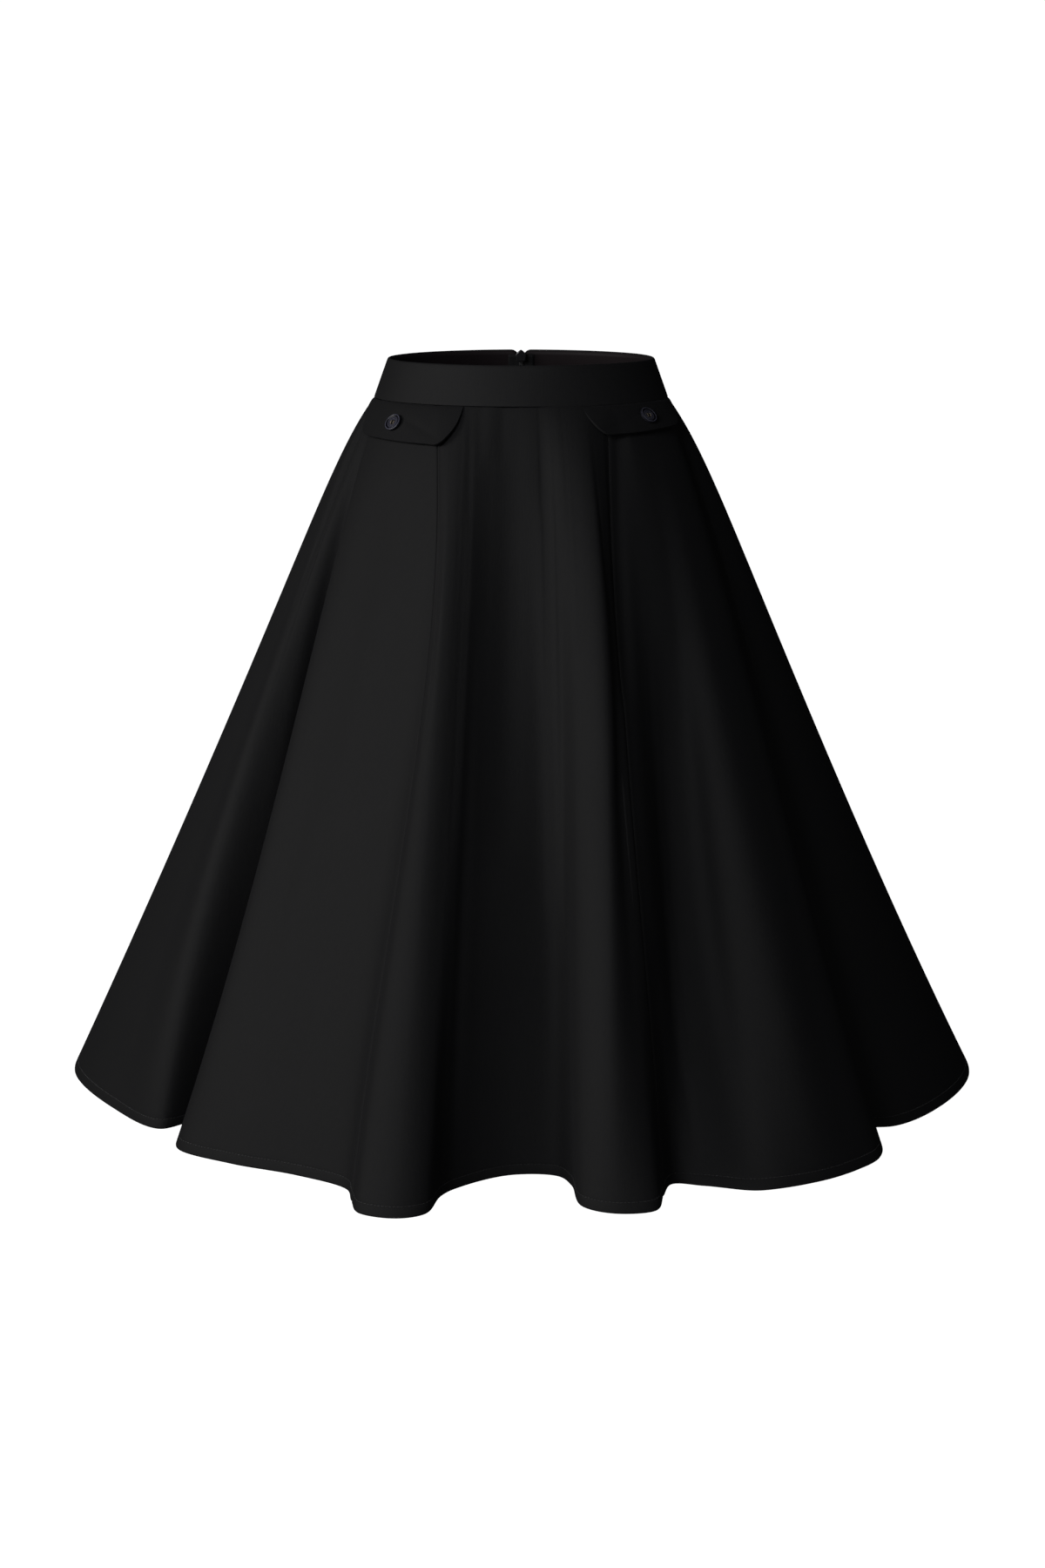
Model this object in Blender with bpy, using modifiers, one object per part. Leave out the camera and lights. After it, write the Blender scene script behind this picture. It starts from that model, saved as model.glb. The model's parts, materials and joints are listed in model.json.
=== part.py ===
"""Black flared midi skirt: contoured waistband, five flared panels, two buttoned flaps, a concealed zip.

Metres, +Z up. The origin is the centre of the waistband's top edge, the front looks to -Y and the
wearer's left is +X. Every cloth piece is a wall worked out from one surface: straight lines run
from an oval seam under the waistband to the hem's plan, which is a table with a row for each fold,
and bow to the side and belly out on the way as that table says.
"""

import math
from collections import namedtuple

import bmesh
import bpy
import numpy as np
from mathutils import Matrix
from mathutils import Vector

# ---------------------------------------------------------------- driving dimensions
WAIST_HALF_WIDTH = 0.122
WAIST_HALF_DEPTH = 0.092
SEAM_HALF_WIDTH = 0.135
SEAM_HALF_DEPTH = 0.102
SEAM_Z = -0.0355
HEM_Z = -0.660
HIP_FULLNESS = 0.046
HIP_LENGTH = 0.07
CRISPNESS = 2.2

CLOTH = 0.002
BAND_WALL = 0.003
GAP = 0.0003

COLUMN_PITCH = 0.0205
TURN_LENGTH = 0.018
PANEL_ROWS = 9
BAND_COLUMNS = 44
BAND_ROWS = 3
ZIP_PARTING = 0.0010
BAND_CORNER = 0.0115

FLAP_TOP = 0.001
FLAP_CORNER = 0.026
FLAP_OUTER_CORNER = 0.012
FLAP_SWEEP = 1.6
FLAP_COLUMNS = 16
FLAP_ROWS = 5

BUTTON_DIAMETER = 0.0165
BUTTON_THICKNESS = 0.0032
BUTTON_RIM = 0.0022
BUTTON_DISH = 0.0009
BUTTON_HOLE = 0.0018
BUTTON_HOLE_PITCH = 0.0032

TAPE_WIDTH = 0.011
TAPE_WALL = 0.0006
TAPE_LENGTH = 0.17
TAPE_TOP = 0.0045
SLIDER_WIDTH = 0.0100
SLIDER_DEPTH = 0.0034
SLIDER_HEIGHT = 0.0110
SLIDER_ROUND = 0.0009
# the slider's top, from its side up to its peak: shares of its width aside, and of its height down
NOSE = ((0.50, 0.38), (0.44, 0.30), (0.28, 0.16), (0.12, 0.04), (0.04, 0.00))
NECK_WIDTH = 0.0011
NECK_HEIGHT = 0.0055
PLATE_WIDTH = 0.0034
PLATE_DEPTH = 0.0010
PIN_RADIUS = 0.0006
PIN_STAND_OFF = 0.0019
EAR_WIDTH = 0.0007
EAR_HEIGHT = 0.0014
EYE_RADIUS = 0.0016
EYE_HOLE = 0.00085
EYE_WIDTH = 0.0015
TAB_LENGTH = 0.026
TAB_WIDTH = 0.0054
TAB_WALL = 0.0010
TAB_ROUND = 0.0003
TAB_LEAN = math.radians(9.0)

# ---------------------------------------------------------------- the hem's plan
# azimuth: degrees round the hem from the centre front, the wearer's left positive
# reach:   metres from the skirt's axis at the hem
# band:    degrees round the waistband seam where the same thread of cloth starts
# bow:     metres that the thread hangs to the side of its straight line, a third of the way down
# belly:   metres that it hangs outside its straight line, two thirds of the way down
Fold = namedtuple("Fold", "name azimuth reach band bow belly")
FOLDS = (
    Fold("side seam right", -90.0, 0.412, -90.0, 0.000, 0.004),
    Fold("right lobe crest", -79.0, 0.428, -86.5, 0.000, 0.003),
    Fold("right lobe front", -64.0, 0.412, -83.0, 0.000, 0.005),
    Fold("right lobe turn", -53.6, 0.396, -80.0, -0.004, 0.016),
    Fold("right side valley", -54.0, 0.350, -76.5, 0.003, -0.022),
    Fold("right side edge in", -50.4, 0.387, -73.0, 0.002, -0.012),
    Fold("right side edge", -46.6, 0.411, -69.5, -0.001, 0.000),
    Fold("right panel crest", -38.0, 0.403, -59.0, 0.002, 0.000),
    Fold("right panel trough", -29.0, 0.393, -47.0, 0.004, 0.000),
    Fold("right roll foot", -21.4, 0.402, -36.5, 0.016, 0.000),
    Fold("princess seam right", -19.3, 0.425, -33.7, 0.018, 0.000),
    Fold("right roll shoulder", -17.4, 0.446, -31.5, 0.014, 0.000),
    Fold("right roll crest", -13.2, 0.449, -27.0, 0.006, 0.000),
    Fold("right roll inner", -10.3, 0.435, -22.0, 0.004, 0.000),
    Fold("right roll inner foot", -9.5, 0.394, -16.5, 0.002, 0.010),
    Fold("centre valley slope", -6.4, 0.364, -10.0, 0.000, 0.008),
    Fold("centre valley", -1.0, 0.343, -2.0, 0.002, 0.004),
    Fold("centre valley edge", 5.0, 0.347, 6.0, 0.003, -0.005),
    Fold("left roll inner foot", 6.5, 0.369, 10.0, 0.004, -0.011),
    Fold("left roll inner", 6.9, 0.415, 15.0, 0.006, -0.002),
    Fold("left roll crest", 10.2, 0.434, 22.0, 0.010, 0.004),
    Fold("left roll shoulder", 14.8, 0.435, 28.0, 0.000, -0.006),
    Fold("princess seam left", 16.9, 0.408, 35.0, -0.006, 0.000),
    Fold("left roll foot", 19.4, 0.385, 38.0, -0.004, 0.000),
    Fold("left panel valley", 22.5, 0.397, 41.0, 0.004, -0.022),
    Fold("left panel rise", 28.0, 0.426, 50.0, 0.004, -0.024),
    Fold("left panel crest", 35.0, 0.437, 58.0, 0.004, 0.002),
    Fold("left panel side", 41.0, 0.438, 65.0, 0.008, 0.000),
    Fold("left side edge", 45.6, 0.433, 71.0, 0.005, 0.000),
    Fold("left side edge in", 49.4, 0.412, 74.5, 0.005, 0.000),
    Fold("left side valley", 50.4, 0.364, 77.5, 0.006, 0.000),
    Fold("left lobe turn", 55.5, 0.402, 80.5, 0.000, 0.000),
    Fold("left lobe front", 66.0, 0.421, 83.5, 0.000, 0.000),
    Fold("left lobe crest", 78.5, 0.430, 86.5, 0.000, 0.000),
    Fold("side seam left", 90.0, 0.414, 90.0, 0.000, 0.000),
    Fold("back valley 1", 101.0, 0.364, 97.0, 0.000, 0.000),
    Fold("back crest 1", 114.0, 0.430, 107.0, 0.000, 0.000),
    Fold("back valley 2", 128.0, 0.362, 119.0, 0.000, 0.000),
    Fold("back crest 2", 143.5, 0.436, 133.0, 0.000, 0.000),
    Fold("back valley 3", 157.0, 0.360, 148.0, 0.000, 0.000),
    Fold("back crest 3", 169.0, 0.428, 163.0, 0.000, 0.000),
    Fold("centre back", 180.0, 0.380, 180.0, 0.000, 0.000),
    Fold("back crest 4", 192.0, 0.431, 196.0, 0.000, 0.000),
    Fold("back valley 4", 204.0, 0.357, 211.0, 0.000, 0.000),
    Fold("back crest 5", 218.0, 0.437, 227.0, 0.000, 0.000),
    Fold("back valley 5", 233.0, 0.364, 241.0, 0.000, 0.000),
    Fold("back crest 6", 247.0, 0.431, 253.0, 0.000, 0.000),
    Fold("back valley 6", 260.0, 0.362, 263.0, 0.000, 0.000),
)
ROW_OF = {fold.name: row for row, fold in enumerate(FOLDS)}
ROUND = len(FOLDS)

Panel = namedtuple("Panel", "name first last")
PANELS = (
    Panel("front_side_panel_right", "side seam right", "princess seam right"),
    Panel("front_centre_panel", "princess seam right", "princess seam left"),
    Panel("front_side_panel_left", "princess seam left", "side seam left"),
    Panel("back_panel_left", "side seam left", "centre back"),
    Panel("back_panel_right", "centre back", "side seam right"),
)

# inner, outer: degrees round the seam of the two ends, at the top and at the lower edge
# drop, outer_drop: length down the skirt at the inner and the outer end
# lift, curl: how far the lower edge and its outer corner stand off
# button_turn: degrees round the seam; button_down: metres below the seam
FLAP_ENDS = "inner_top inner_low outer_top outer_low"
Flap = namedtuple("Flap", "name side " + FLAP_ENDS + " drop outer_drop lift curl button_turn button_down")
FLAPS = (
    Flap("right", -1, 22.0, 26.0, 84.0, 70.0, 0.0345, 0.0310, 0.0030, 0.002, 55.5, 0.0195),
    Flap("left", 1, 23.3, 26.6, 84.0, 70.0, 0.0272, 0.0225, 0.0040, 0.001, 55.6, 0.0138),
)


# ---------------------------------------------------------------- the skirt's surface
def oval(turn, half_width, half_depth):
    """Plan points of an oval; turn is in radians from the centre front."""
    return np.stack([half_width * np.sin(turn), -half_depth * np.cos(turn)], -1)


def fold_values(row):
    """Hem point, band angle, bow and belly of whole rows; rows past the last go round again."""
    azimuth = np.radians([fold.azimuth for fold in FOLDS])
    reach = np.array([fold.reach for fold in FOLDS])
    band = np.radians([fold.band for fold in FOLDS])
    bow = np.array([fold.bow for fold in FOLDS])
    belly = np.array([fold.belly for fold in FOLDS])
    row = np.asarray(row)
    turn = row % ROUND
    laps = 2 * math.pi * (row // ROUND)
    x = reach * np.sin(azimuth)
    y = -reach * np.cos(azimuth)
    return np.stack([x[turn], y[turn], band[turn] + laps, bow[turn], belly[turn]], -1)


def hem_threads(place):
    """Centripetal spline through the fold rows; place counts rows and may be fractional."""
    place = np.asarray(place, float)
    row = np.floor(place).astype(int)
    p0, p1, p2, p3 = (fold_values(row + step) for step in (-1, 0, 1, 2))
    k1, k2, k3 = (
        np.linalg.norm(b[..., :2] - a[..., :2], axis=-1, keepdims=True) ** 0.5
        for a, b in ((p0, p1), (p1, p2), (p2, p3))
    )
    k2 = k1 + k2
    k3 = k2 + k3
    k = k1 + (place - row)[..., None] * (k2 - k1)
    a1 = ((k1 - k) * p0 + k * p1) / k1
    a2 = ((k2 - k) * p1 + (k - k1) * p2) / (k2 - k1)
    a3 = ((k3 - k) * p2 + (k - k2) * p3) / (k3 - k2)
    b1 = ((k2 - k) * a1 + k * a2) / k2
    b2 = ((k3 - k) * a2 + (k - k1) * a3) / (k3 - k1)
    return ((k2 - k) * b1 + (k - k1) * b2) / (k2 - k1)


def flare(down):
    """Share of the way out to the hem; the hips make it a little fuller near the top."""
    fullness = HIP_FULLNESS * np.maximum(1 - down, 0.0) ** 1.6 * (1 - np.exp(-down / HIP_LENGTH))
    return down + fullness


def soft_hem(place):
    """The hem's plan with its turns rounded off, which the folds follow near the waistband."""
    steps = (-1.0, -0.5, 0.0, 0.5, 1.0)
    return sum(hem_threads(place + step)[..., :2] for step in steps) / len(steps)


def skirt_surface(place, down):
    """Outer surface of the skirt; down is 0 at the waistband seam and 1 at the hem."""
    threads = hem_threads(place)
    share = flare(down)[..., None]
    crisp = np.clip(down, 0.0, 1.0)[..., None] ** CRISPNESS
    hem = threads[..., :2] * crisp + soft_hem(place) * (1 - crisp)
    top = oval(threads[..., 2], SEAM_HALF_WIDTH, SEAM_HALF_DEPTH)
    outward = hem / np.linalg.norm(hem, axis=-1, keepdims=True)
    aside = np.stack([-outward[..., 1], outward[..., 0]], -1)
    bow = (6.75 * down * (1 - down) ** 2 * threads[..., 3])[..., None]
    belly = (6.75 * down**2 * (1 - down) * threads[..., 4])[..., None]
    plan = top * (1 - share) + hem * share + aside * bow + outward * belly
    height = SEAM_Z + down * (HEM_Z - SEAM_Z)
    return np.concatenate([plan, height[..., None]], -1)


def skirt(place, down, out=0.0, aside=0.0):
    """Skirt points moved out along the surface's normal, and aside along its rings."""
    place, down = np.broadcast_arrays(np.asarray(place, float), np.asarray(down, float))
    step = 0.002
    round_it = skirt_surface(place + step, down) - skirt_surface(place - step, down)
    down_it = skirt_surface(place, down + step) - skirt_surface(place, down - step)
    normal = np.cross(down_it, round_it)
    normal /= np.linalg.norm(normal, axis=-1, keepdims=True)
    round_it /= np.linalg.norm(round_it, axis=-1, keepdims=True)
    out = np.asarray(out, float)[..., None]
    aside = np.asarray(aside, float)[..., None]
    return skirt_surface(place, down) + normal * out + round_it * aside


def waistband(turn, height_share, out=0.0):
    """Waistband points; height_share is 0 at the top edge and 1 at the seam."""
    turn, height_share = np.broadcast_arrays(np.asarray(turn, float), np.asarray(height_share, float))
    half_width = WAIST_HALF_WIDTH + height_share * (SEAM_HALF_WIDTH - WAIST_HALF_WIDTH)
    half_depth = WAIST_HALF_DEPTH + height_share * (SEAM_HALF_DEPTH - WAIST_HALF_DEPTH)
    plan = np.stack([half_width * np.sin(turn), -half_depth * np.cos(turn)], -1)
    normal = np.stack([np.sin(turn) / half_width, -np.cos(turn) / half_depth], -1)
    normal /= np.linalg.norm(normal, axis=-1, keepdims=True)
    points = plan + normal * np.asarray(out, float)[..., None]
    return np.concatenate([points, (height_share * SEAM_Z)[..., None]], -1)


def columns_between(first, last):
    """Places from first to last along the hem, closer together where the hem turns."""
    fine = np.linspace(first, last, 1200)
    steps = np.diff(hem_threads(fine)[:, :2], axis=0)
    heading = np.unwrap(np.arctan2(steps[:, 1], steps[:, 0]))
    turning = np.abs(np.diff(heading, append=heading[-1]))
    effort = np.linalg.norm(steps, axis=1) + TURN_LENGTH * turning
    travelled = np.concatenate([[0.0], np.cumsum(effort)])
    columns = round(travelled[-1] / COLUMN_PITCH)
    return np.interp(np.linspace(0.0, travelled[-1], columns + 1), travelled, fine)


def place_of_turn(turn):
    """The place on the fold table whose thread starts at this angle round the seam."""
    fine = np.linspace(-2.0, ROUND + 2.0, 2400)
    return np.interp(turn, hem_threads(fine)[:, 2], fine)


# ---------------------------------------------------------------- scene and meshes
def clear_scene():
    for thing in list(bpy.data.objects):
        bpy.data.objects.remove(thing)


def collection(name):
    group = bpy.data.collections.new(name)
    bpy.context.scene.collection.children.link(group)
    return group


def material(name, colour, roughness, metallic=0.0):
    made = bpy.data.materials.new(name)
    made.use_nodes = True
    shader = made.node_tree.nodes["Principled BSDF"]
    shader.inputs["Base Color"].default_value = (*colour, 1.0)
    shader.inputs["Roughness"].default_value = roughness
    shader.inputs["Metallic"].default_value = metallic
    return made


def add_object(name, mesh, group, paint=None):
    thing = bpy.data.objects.new(name, mesh)
    group.objects.link(thing)
    if paint:
        mesh.materials.append(paint)
    return thing


def finish_mesh(shape, name):
    """Turns a bmesh into a mesh whose faces point out."""
    bmesh.ops.recalc_face_normals(shape, faces=shape.faces)
    mesh = bpy.data.meshes.new(name)
    shape.to_mesh(mesh)
    shape.free()
    return mesh


def cloth_piece(name, columns, rows, place, wall, group, paint):
    """A flat grid given its wall by an extrusion, then laid where place(across, down, depth) says."""
    shape = bmesh.new()
    bmesh.ops.create_grid(shape, x_segments=columns, y_segments=rows, size=0.5)
    outer = list(shape.verts)
    made = bmesh.ops.extrude_face_region(shape, geom=list(shape.faces), use_keep_orig=True)
    inner = [part for part in made["geom"] if isinstance(part, bmesh.types.BMVert)]
    for side, depth in ((outer, 0.0), (inner, wall)):
        across = np.array([corner.co.x + 0.5 for corner in side])
        down = np.array([0.5 - corner.co.y for corner in side])
        for corner, point in zip(side, place(across, down, depth)):
            corner.co = point
    mesh = finish_mesh(shape, name)
    mesh.shade_smooth()
    mesh.set_sharp_from_angle(angle=math.radians(50.0))
    return add_object(name, mesh, group, paint)


# ---------------------------------------------------------------- cloth pieces
def make_panel(panel, group, paint):
    first, last = ROW_OF[panel.first], ROW_OF[panel.last]
    if last < first:
        last += ROUND
    places = columns_between(first, last)
    columns = len(places) - 1
    top_share = GAP / (SEAM_Z - HEM_Z)

    def place(across, down, depth):
        column = np.round(across * columns).astype(int)
        share = top_share + down**1.3 * (1 - top_share)
        aside = np.where(column == 0, GAP / 2, 0.0) - np.where(column == columns, GAP / 2, 0.0)
        return skirt(places[column], share, -depth, aside)

    return cloth_piece(panel.name, columns, PANEL_ROWS, place, CLOTH, group, paint)


def make_waistband(group, paint):
    """One curved band whose two ends meet at the centre back with rounded upper corners."""
    radius = WAIST_HALF_WIDTH**2 / WAIST_HALF_DEPTH
    corner = np.array([0.0, 0.08, 0.25, 0.5, 0.8, 1.0]) * BAND_CORNER
    ends = (ZIP_PARTING + corner) / radius
    middle = np.linspace(ends[-1], 2 * math.pi - ends[-1], BAND_COLUMNS + 1)
    turns = np.concatenate([ends[:-1], middle, 2 * math.pi - ends[-2::-1]])
    columns = len(turns) - 1

    def place(across, down, depth):
        turn = turns[np.round(across * columns).astype(int)]
        to_end = np.minimum(turn, 2 * math.pi - turn) * radius - ZIP_PARTING
        inside = np.clip(BAND_CORNER - to_end, 0.0, BAND_CORNER)
        lowered = BAND_CORNER - np.sqrt(np.maximum(BAND_CORNER**2 - inside**2, 0.0))
        top_share = lowered / -SEAM_Z
        low_share = 1 - GAP / -SEAM_Z
        return waistband(turn - math.pi, top_share + down * (low_share - top_share), -depth)

    return cloth_piece("waistband", columns, BAND_ROWS, place, BAND_WALL, group, paint)


def flap_place(flap, across, down):
    """Place on the fold table, share down the skirt and stand-off of a flap's inner face."""
    wide = SEAM_HALF_WIDTH * math.radians(flap.outer_top - flap.inner_top)
    to_side = np.minimum(across, 1 - across) * wide
    corner = np.where(across < 0.5, FLAP_CORNER, FLAP_OUTER_CORNER)
    inside = np.clip(corner - to_side, 0.0, corner)
    rounding = corner - np.sqrt(np.maximum(corner**2 - inside**2, 0.0))
    drop = flap.drop + across**FLAP_SWEEP * (flap.outer_drop - flap.drop)
    reach_down = FLAP_TOP + down * (drop - rounding - FLAP_TOP)
    share = reach_down / flap.drop
    inner = flap.inner_top + share * (flap.inner_low - flap.inner_top)
    outer = flap.outer_top + share * (flap.outer_low - flap.outer_top)
    turn = np.radians(flap.side * (inner + across * (outer - inner)))
    stand_off = GAP + flap.lift * share**2 + flap.curl * across**3 * share
    return place_of_turn(turn), reach_down / abs(HEM_Z - SEAM_Z), stand_off


def make_flap(flap, group, paint):
    def place(across, down, depth):
        across = 0.2 * across + 0.8 * (0.5 - 0.5 * np.cos(math.pi * across))
        spot, share, stand_off = flap_place(flap, across, down)
        return skirt(spot, share, stand_off + CLOTH - depth)

    return cloth_piece("pocket_flap_" + flap.name, FLAP_COLUMNS, FLAP_ROWS, place, CLOTH, group, paint)


# ---------------------------------------------------------------- buttons
def add_rod(shape, radius, length, segments, lie):
    ends = {"cap_ends": True, "radius1": radius, "radius2": radius}
    bmesh.ops.create_cone(shape, segments=segments, depth=length, matrix=lie, **ends)


def button_seat(flap):
    """A button's centre on the flap's outer face, and the face's outward direction."""
    middle = (flap.button_turn - flap.inner_top) / (flap.outer_top - flap.inner_top)
    low = flap.button_down / flap.drop
    spots = np.array([[middle, low], [middle + 0.03, low], [middle, low + 0.08]])
    place, share, stand_off = flap_place(flap, spots[:, 0], spots[:, 1])
    points = skirt(place, share, stand_off + CLOTH)
    out = Vector(np.cross(points[1] - points[0], points[2] - points[0])).normalized()
    if out.y > 0:
        out.negate()
    return Vector(points[0]), out


def make_button(flap, group, cutters, paint):
    """A turned disc with a raised rim and four holes, lying on its flap."""
    profile = (
        (0.0, BUTTON_THICKNESS - BUTTON_DISH),
        (BUTTON_DIAMETER / 2 - BUTTON_RIM, BUTTON_THICKNESS - BUTTON_DISH),
        (BUTTON_DIAMETER / 2 - BUTTON_RIM * 0.6, BUTTON_THICKNESS),
        (BUTTON_DIAMETER / 2 - BUTTON_RIM * 0.2, BUTTON_THICKNESS * 0.92),
        (BUTTON_DIAMETER / 2, BUTTON_THICKNESS * 0.6),
        (BUTTON_DIAMETER / 2 - BUTTON_RIM * 0.5, 0.0),
        (0.0, 0.0),
    )
    shape = bmesh.new()
    line = [shape.verts.new((radius, 0.0, height)) for radius, height in profile]
    edges = [shape.edges.new(pair) for pair in zip(line, line[1:])]
    turn_line = {"cent": (0, 0, 0), "axis": (0, 0, 1), "angle": 2 * math.pi, "steps": 28}
    bmesh.ops.spin(shape, geom=line + edges, use_merge=True, **turn_line)
    bmesh.ops.remove_doubles(shape, verts=shape.verts, dist=0.00001)
    name = "button_" + flap.name
    button = add_object(name, finish_mesh(shape, name), group, paint)
    drill = bmesh.new()
    for turn in range(4):
        angle = math.radians(45.0 + 90.0 * turn)
        spot = Vector((math.cos(angle), math.sin(angle), 0.0)) * (BUTTON_HOLE_PITCH / math.sqrt(2))
        add_rod(drill, BUTTON_HOLE / 2, 4 * BUTTON_THICKNESS, 10, Matrix.Translation(spot))
    cutter = add_object(name + "_drill", finish_mesh(drill, name + "_drill"), cutters)
    cutter.hide_render = True
    cutter.display_type = "WIRE"
    centre, out = button_seat(flap)
    turned = out.to_track_quat("Z", "Y").to_matrix().to_4x4()
    lie = Matrix.Translation(centre + out * GAP) @ turned
    button.matrix_world = lie
    cutter.matrix_world = lie
    cut = button.modifiers.new("holes", "BOOLEAN")
    cut.operation = "DIFFERENCE"
    cut.object = cutter
    button.data.shade_smooth()
    button.data.set_sharp_from_angle(angle=math.radians(40.0))
    return button


# ---------------------------------------------------------------- zip
def back_line(height):
    """How far behind the axis the outer face is at the centre back, at a height."""
    band = np.interp(-height, [0.0, -SEAM_Z], [WAIST_HALF_DEPTH, SEAM_HALF_DEPTH])
    down = np.clip((height - SEAM_Z) / (HEM_Z - SEAM_Z), 0.0, 1.0)
    panel = skirt_surface(np.full(down.shape, ROW_OF["centre back"]), down)[..., 1]
    return np.where(height > SEAM_Z, band, panel)


def make_tape(side, name, group, paint):
    """A zip tape along one edge of the centre-back opening, on the inside of band and panel."""
    on_band = np.linspace(-TAPE_TOP, SEAM_Z, 4)
    on_panel = SEAM_Z - (TAPE_LENGTH + SEAM_Z) * np.linspace(0.0, 1.0, 8)[1:] ** 1.5
    heights = np.concatenate([on_band, on_panel])
    rows = len(heights) - 1

    def place(across, down, depth):
        height = heights[np.round(down * rows).astype(int)]
        x = side * (ZIP_PARTING + across * TAPE_WIDTH)
        curve = x**2 / (2 * WAIST_HALF_WIDTH**2 / WAIST_HALF_DEPTH)
        back = back_line(height) - curve - BAND_WALL - 3 * GAP - depth
        return np.stack([x, back, height], -1)

    return cloth_piece(name, 2, rows, place, TAPE_WALL, group, paint)


def slab(name, outline, low, high, axis, group):
    """A flat outline given its thickness along X (axis 0) or Y (axis 1)."""
    shape = bmesh.new()
    corners = [(low, a, b) if axis == 0 else (a, low, b) for a, b in outline]
    face = shape.faces.new([shape.verts.new(corner) for corner in corners])
    made = bmesh.ops.extrude_face_region(shape, geom=[face], use_keep_orig=True)
    top = [part for part in made["geom"] if isinstance(part, bmesh.types.BMVert)]
    shift = (high - low, 0, 0) if axis == 0 else (0, high - low, 0)
    bmesh.ops.translate(shape, vec=shift, verts=top)
    return add_object(name, finish_mesh(shape, name), group)


def soften(body, width, segments):
    """Rounds a slab's edges."""
    step = body.modifiers.new("soft edges", "BEVEL")
    step.width = width
    step.segments = segments
    step.limit_method = "ANGLE"
    step.angle_limit = math.radians(40.0)


def rectangle(a0, a1, b0, b1):
    return ((a0, b0), (a1, b0), (a1, b1), (a0, b1))


def rod(name, radius, length, centre, group):
    """A round rod along X."""
    shape = bmesh.new()
    add_rod(shape, radius, length, 16, Matrix.Translation(centre) @ Matrix.Rotation(math.pi / 2, 4, "Y"))
    return add_object(name, finish_mesh(shape, name), group)


def combine(body, piece, operation):
    """Joins a piece to a body, or cuts it out, and keeps the piece among the cutters."""
    piece.hide_render = True
    piece.display_type = "WIRE"
    step = body.modifiers.new(piece.name, "BOOLEAN")
    step.operation = operation
    step.object = piece


SLIDER_MIDDLE = -SLIDER_HEIGHT / 2
PLATE_BACK = WAIST_HALF_DEPTH + 0.0028
PIN_CENTRE = Vector((0.0, PLATE_BACK + PLATE_DEPTH + PIN_STAND_OFF, SLIDER_MIDDLE))


def make_slider(group, cutters, paint):
    """Slider body inside the band, a neck through the parting, and a plate with the tab's pin."""
    inner_face = WAIST_HALF_DEPTH - BAND_WALL - 4 * GAP - TAPE_WALL
    nose = [(SLIDER_WIDTH * aside, -SLIDER_HEIGHT * low) for aside, low in NOSE]
    foot = [(SLIDER_WIDTH * 0.34, -SLIDER_HEIGHT), (SLIDER_WIDTH * 0.44, -SLIDER_HEIGHT * 0.88)]
    outline = foot + nose + [(-aside, height) for aside, height in reversed(foot + nose)]
    slider = slab("zip_slider", outline, inner_face - SLIDER_DEPTH, inner_face, 1, group)
    slider.data.materials.append(paint)
    soften(slider, SLIDER_ROUND, 2)
    half_neck = NECK_HEIGHT / 2
    half_plate = half_neck * 1.2
    half_gap = NECK_WIDTH / 2
    neck_face = rectangle(-half_gap, half_gap, SLIDER_MIDDLE - half_neck, SLIDER_MIDDLE + half_neck)
    neck_front = inner_face - SLIDER_DEPTH / 2
    neck = slab("slider_neck", neck_face, neck_front, PLATE_BACK + PLATE_DEPTH / 2, 1, cutters)
    half_width = PLATE_WIDTH / 2
    plate_face = rectangle(-half_width, half_width, SLIDER_MIDDLE - half_plate, SLIDER_MIDDLE + half_plate)
    plate = slab("slider_plate", plate_face, PLATE_BACK, PLATE_BACK + PLATE_DEPTH, 1, cutters)
    combine(slider, neck, "UNION")
    combine(slider, plate, "UNION")
    half_ear = EAR_HEIGHT / 2
    ear_ends = (PLATE_BACK + PLATE_DEPTH / 2, PIN_CENTRE.y + half_ear)
    ear_outline = rectangle(*ear_ends, SLIDER_MIDDLE - half_ear, SLIDER_MIDDLE + half_ear)
    for name, low in (("right", -half_width), ("left", half_width - EAR_WIDTH)):
        ear = slab("slider_ear_" + name, ear_outline, low, low + EAR_WIDTH, 0, cutters)
        combine(slider, ear, "UNION")
    pin = rod("slider_pin", PIN_RADIUS, PLATE_WIDTH - EAR_WIDTH, PIN_CENTRE, cutters)
    combine(slider, pin, "UNION")
    return slider


def make_pull_tab(group, cutters, paint):
    """A drop-shaped tab hanging from the slider's pin; its origin is on the pin's axis."""
    round_end = [
        (TAB_WIDTH / 2 * math.cos(turn), -TAB_LENGTH + TAB_WIDTH / 2 * (1 + math.sin(turn)))
        for turn in np.linspace(math.pi, 2 * math.pi, 11)
    ]
    neck = EYE_WIDTH / 2
    shoulder = -EYE_RADIUS * 1.9
    outline = [(neck, shoulder), (neck, -EYE_RADIUS * 0.6), (-neck, -EYE_RADIUS * 0.6), (-neck, shoulder)]
    tab = slab("zip_pull_tab", outline + round_end, -TAB_WALL / 2, TAB_WALL / 2, 1, group)
    tab.data.materials.append(paint)
    soften(tab, TAB_ROUND, 1)
    eye = rod("tab_eye", EYE_RADIUS, EYE_WIDTH, Vector((0, 0, 0)), cutters)
    hole = rod("tab_hole", EYE_HOLE, EYE_WIDTH * 2, Vector((0, 0, 0)), cutters)
    combine(tab, eye, "UNION")
    combine(tab, hole, "DIFFERENCE")
    lie = Matrix.Translation(PIN_CENTRE) @ Matrix.Rotation(TAB_LEAN, 4, "X")
    for piece in (tab, eye, hole):
        piece.matrix_world = lie
    return tab


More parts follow.
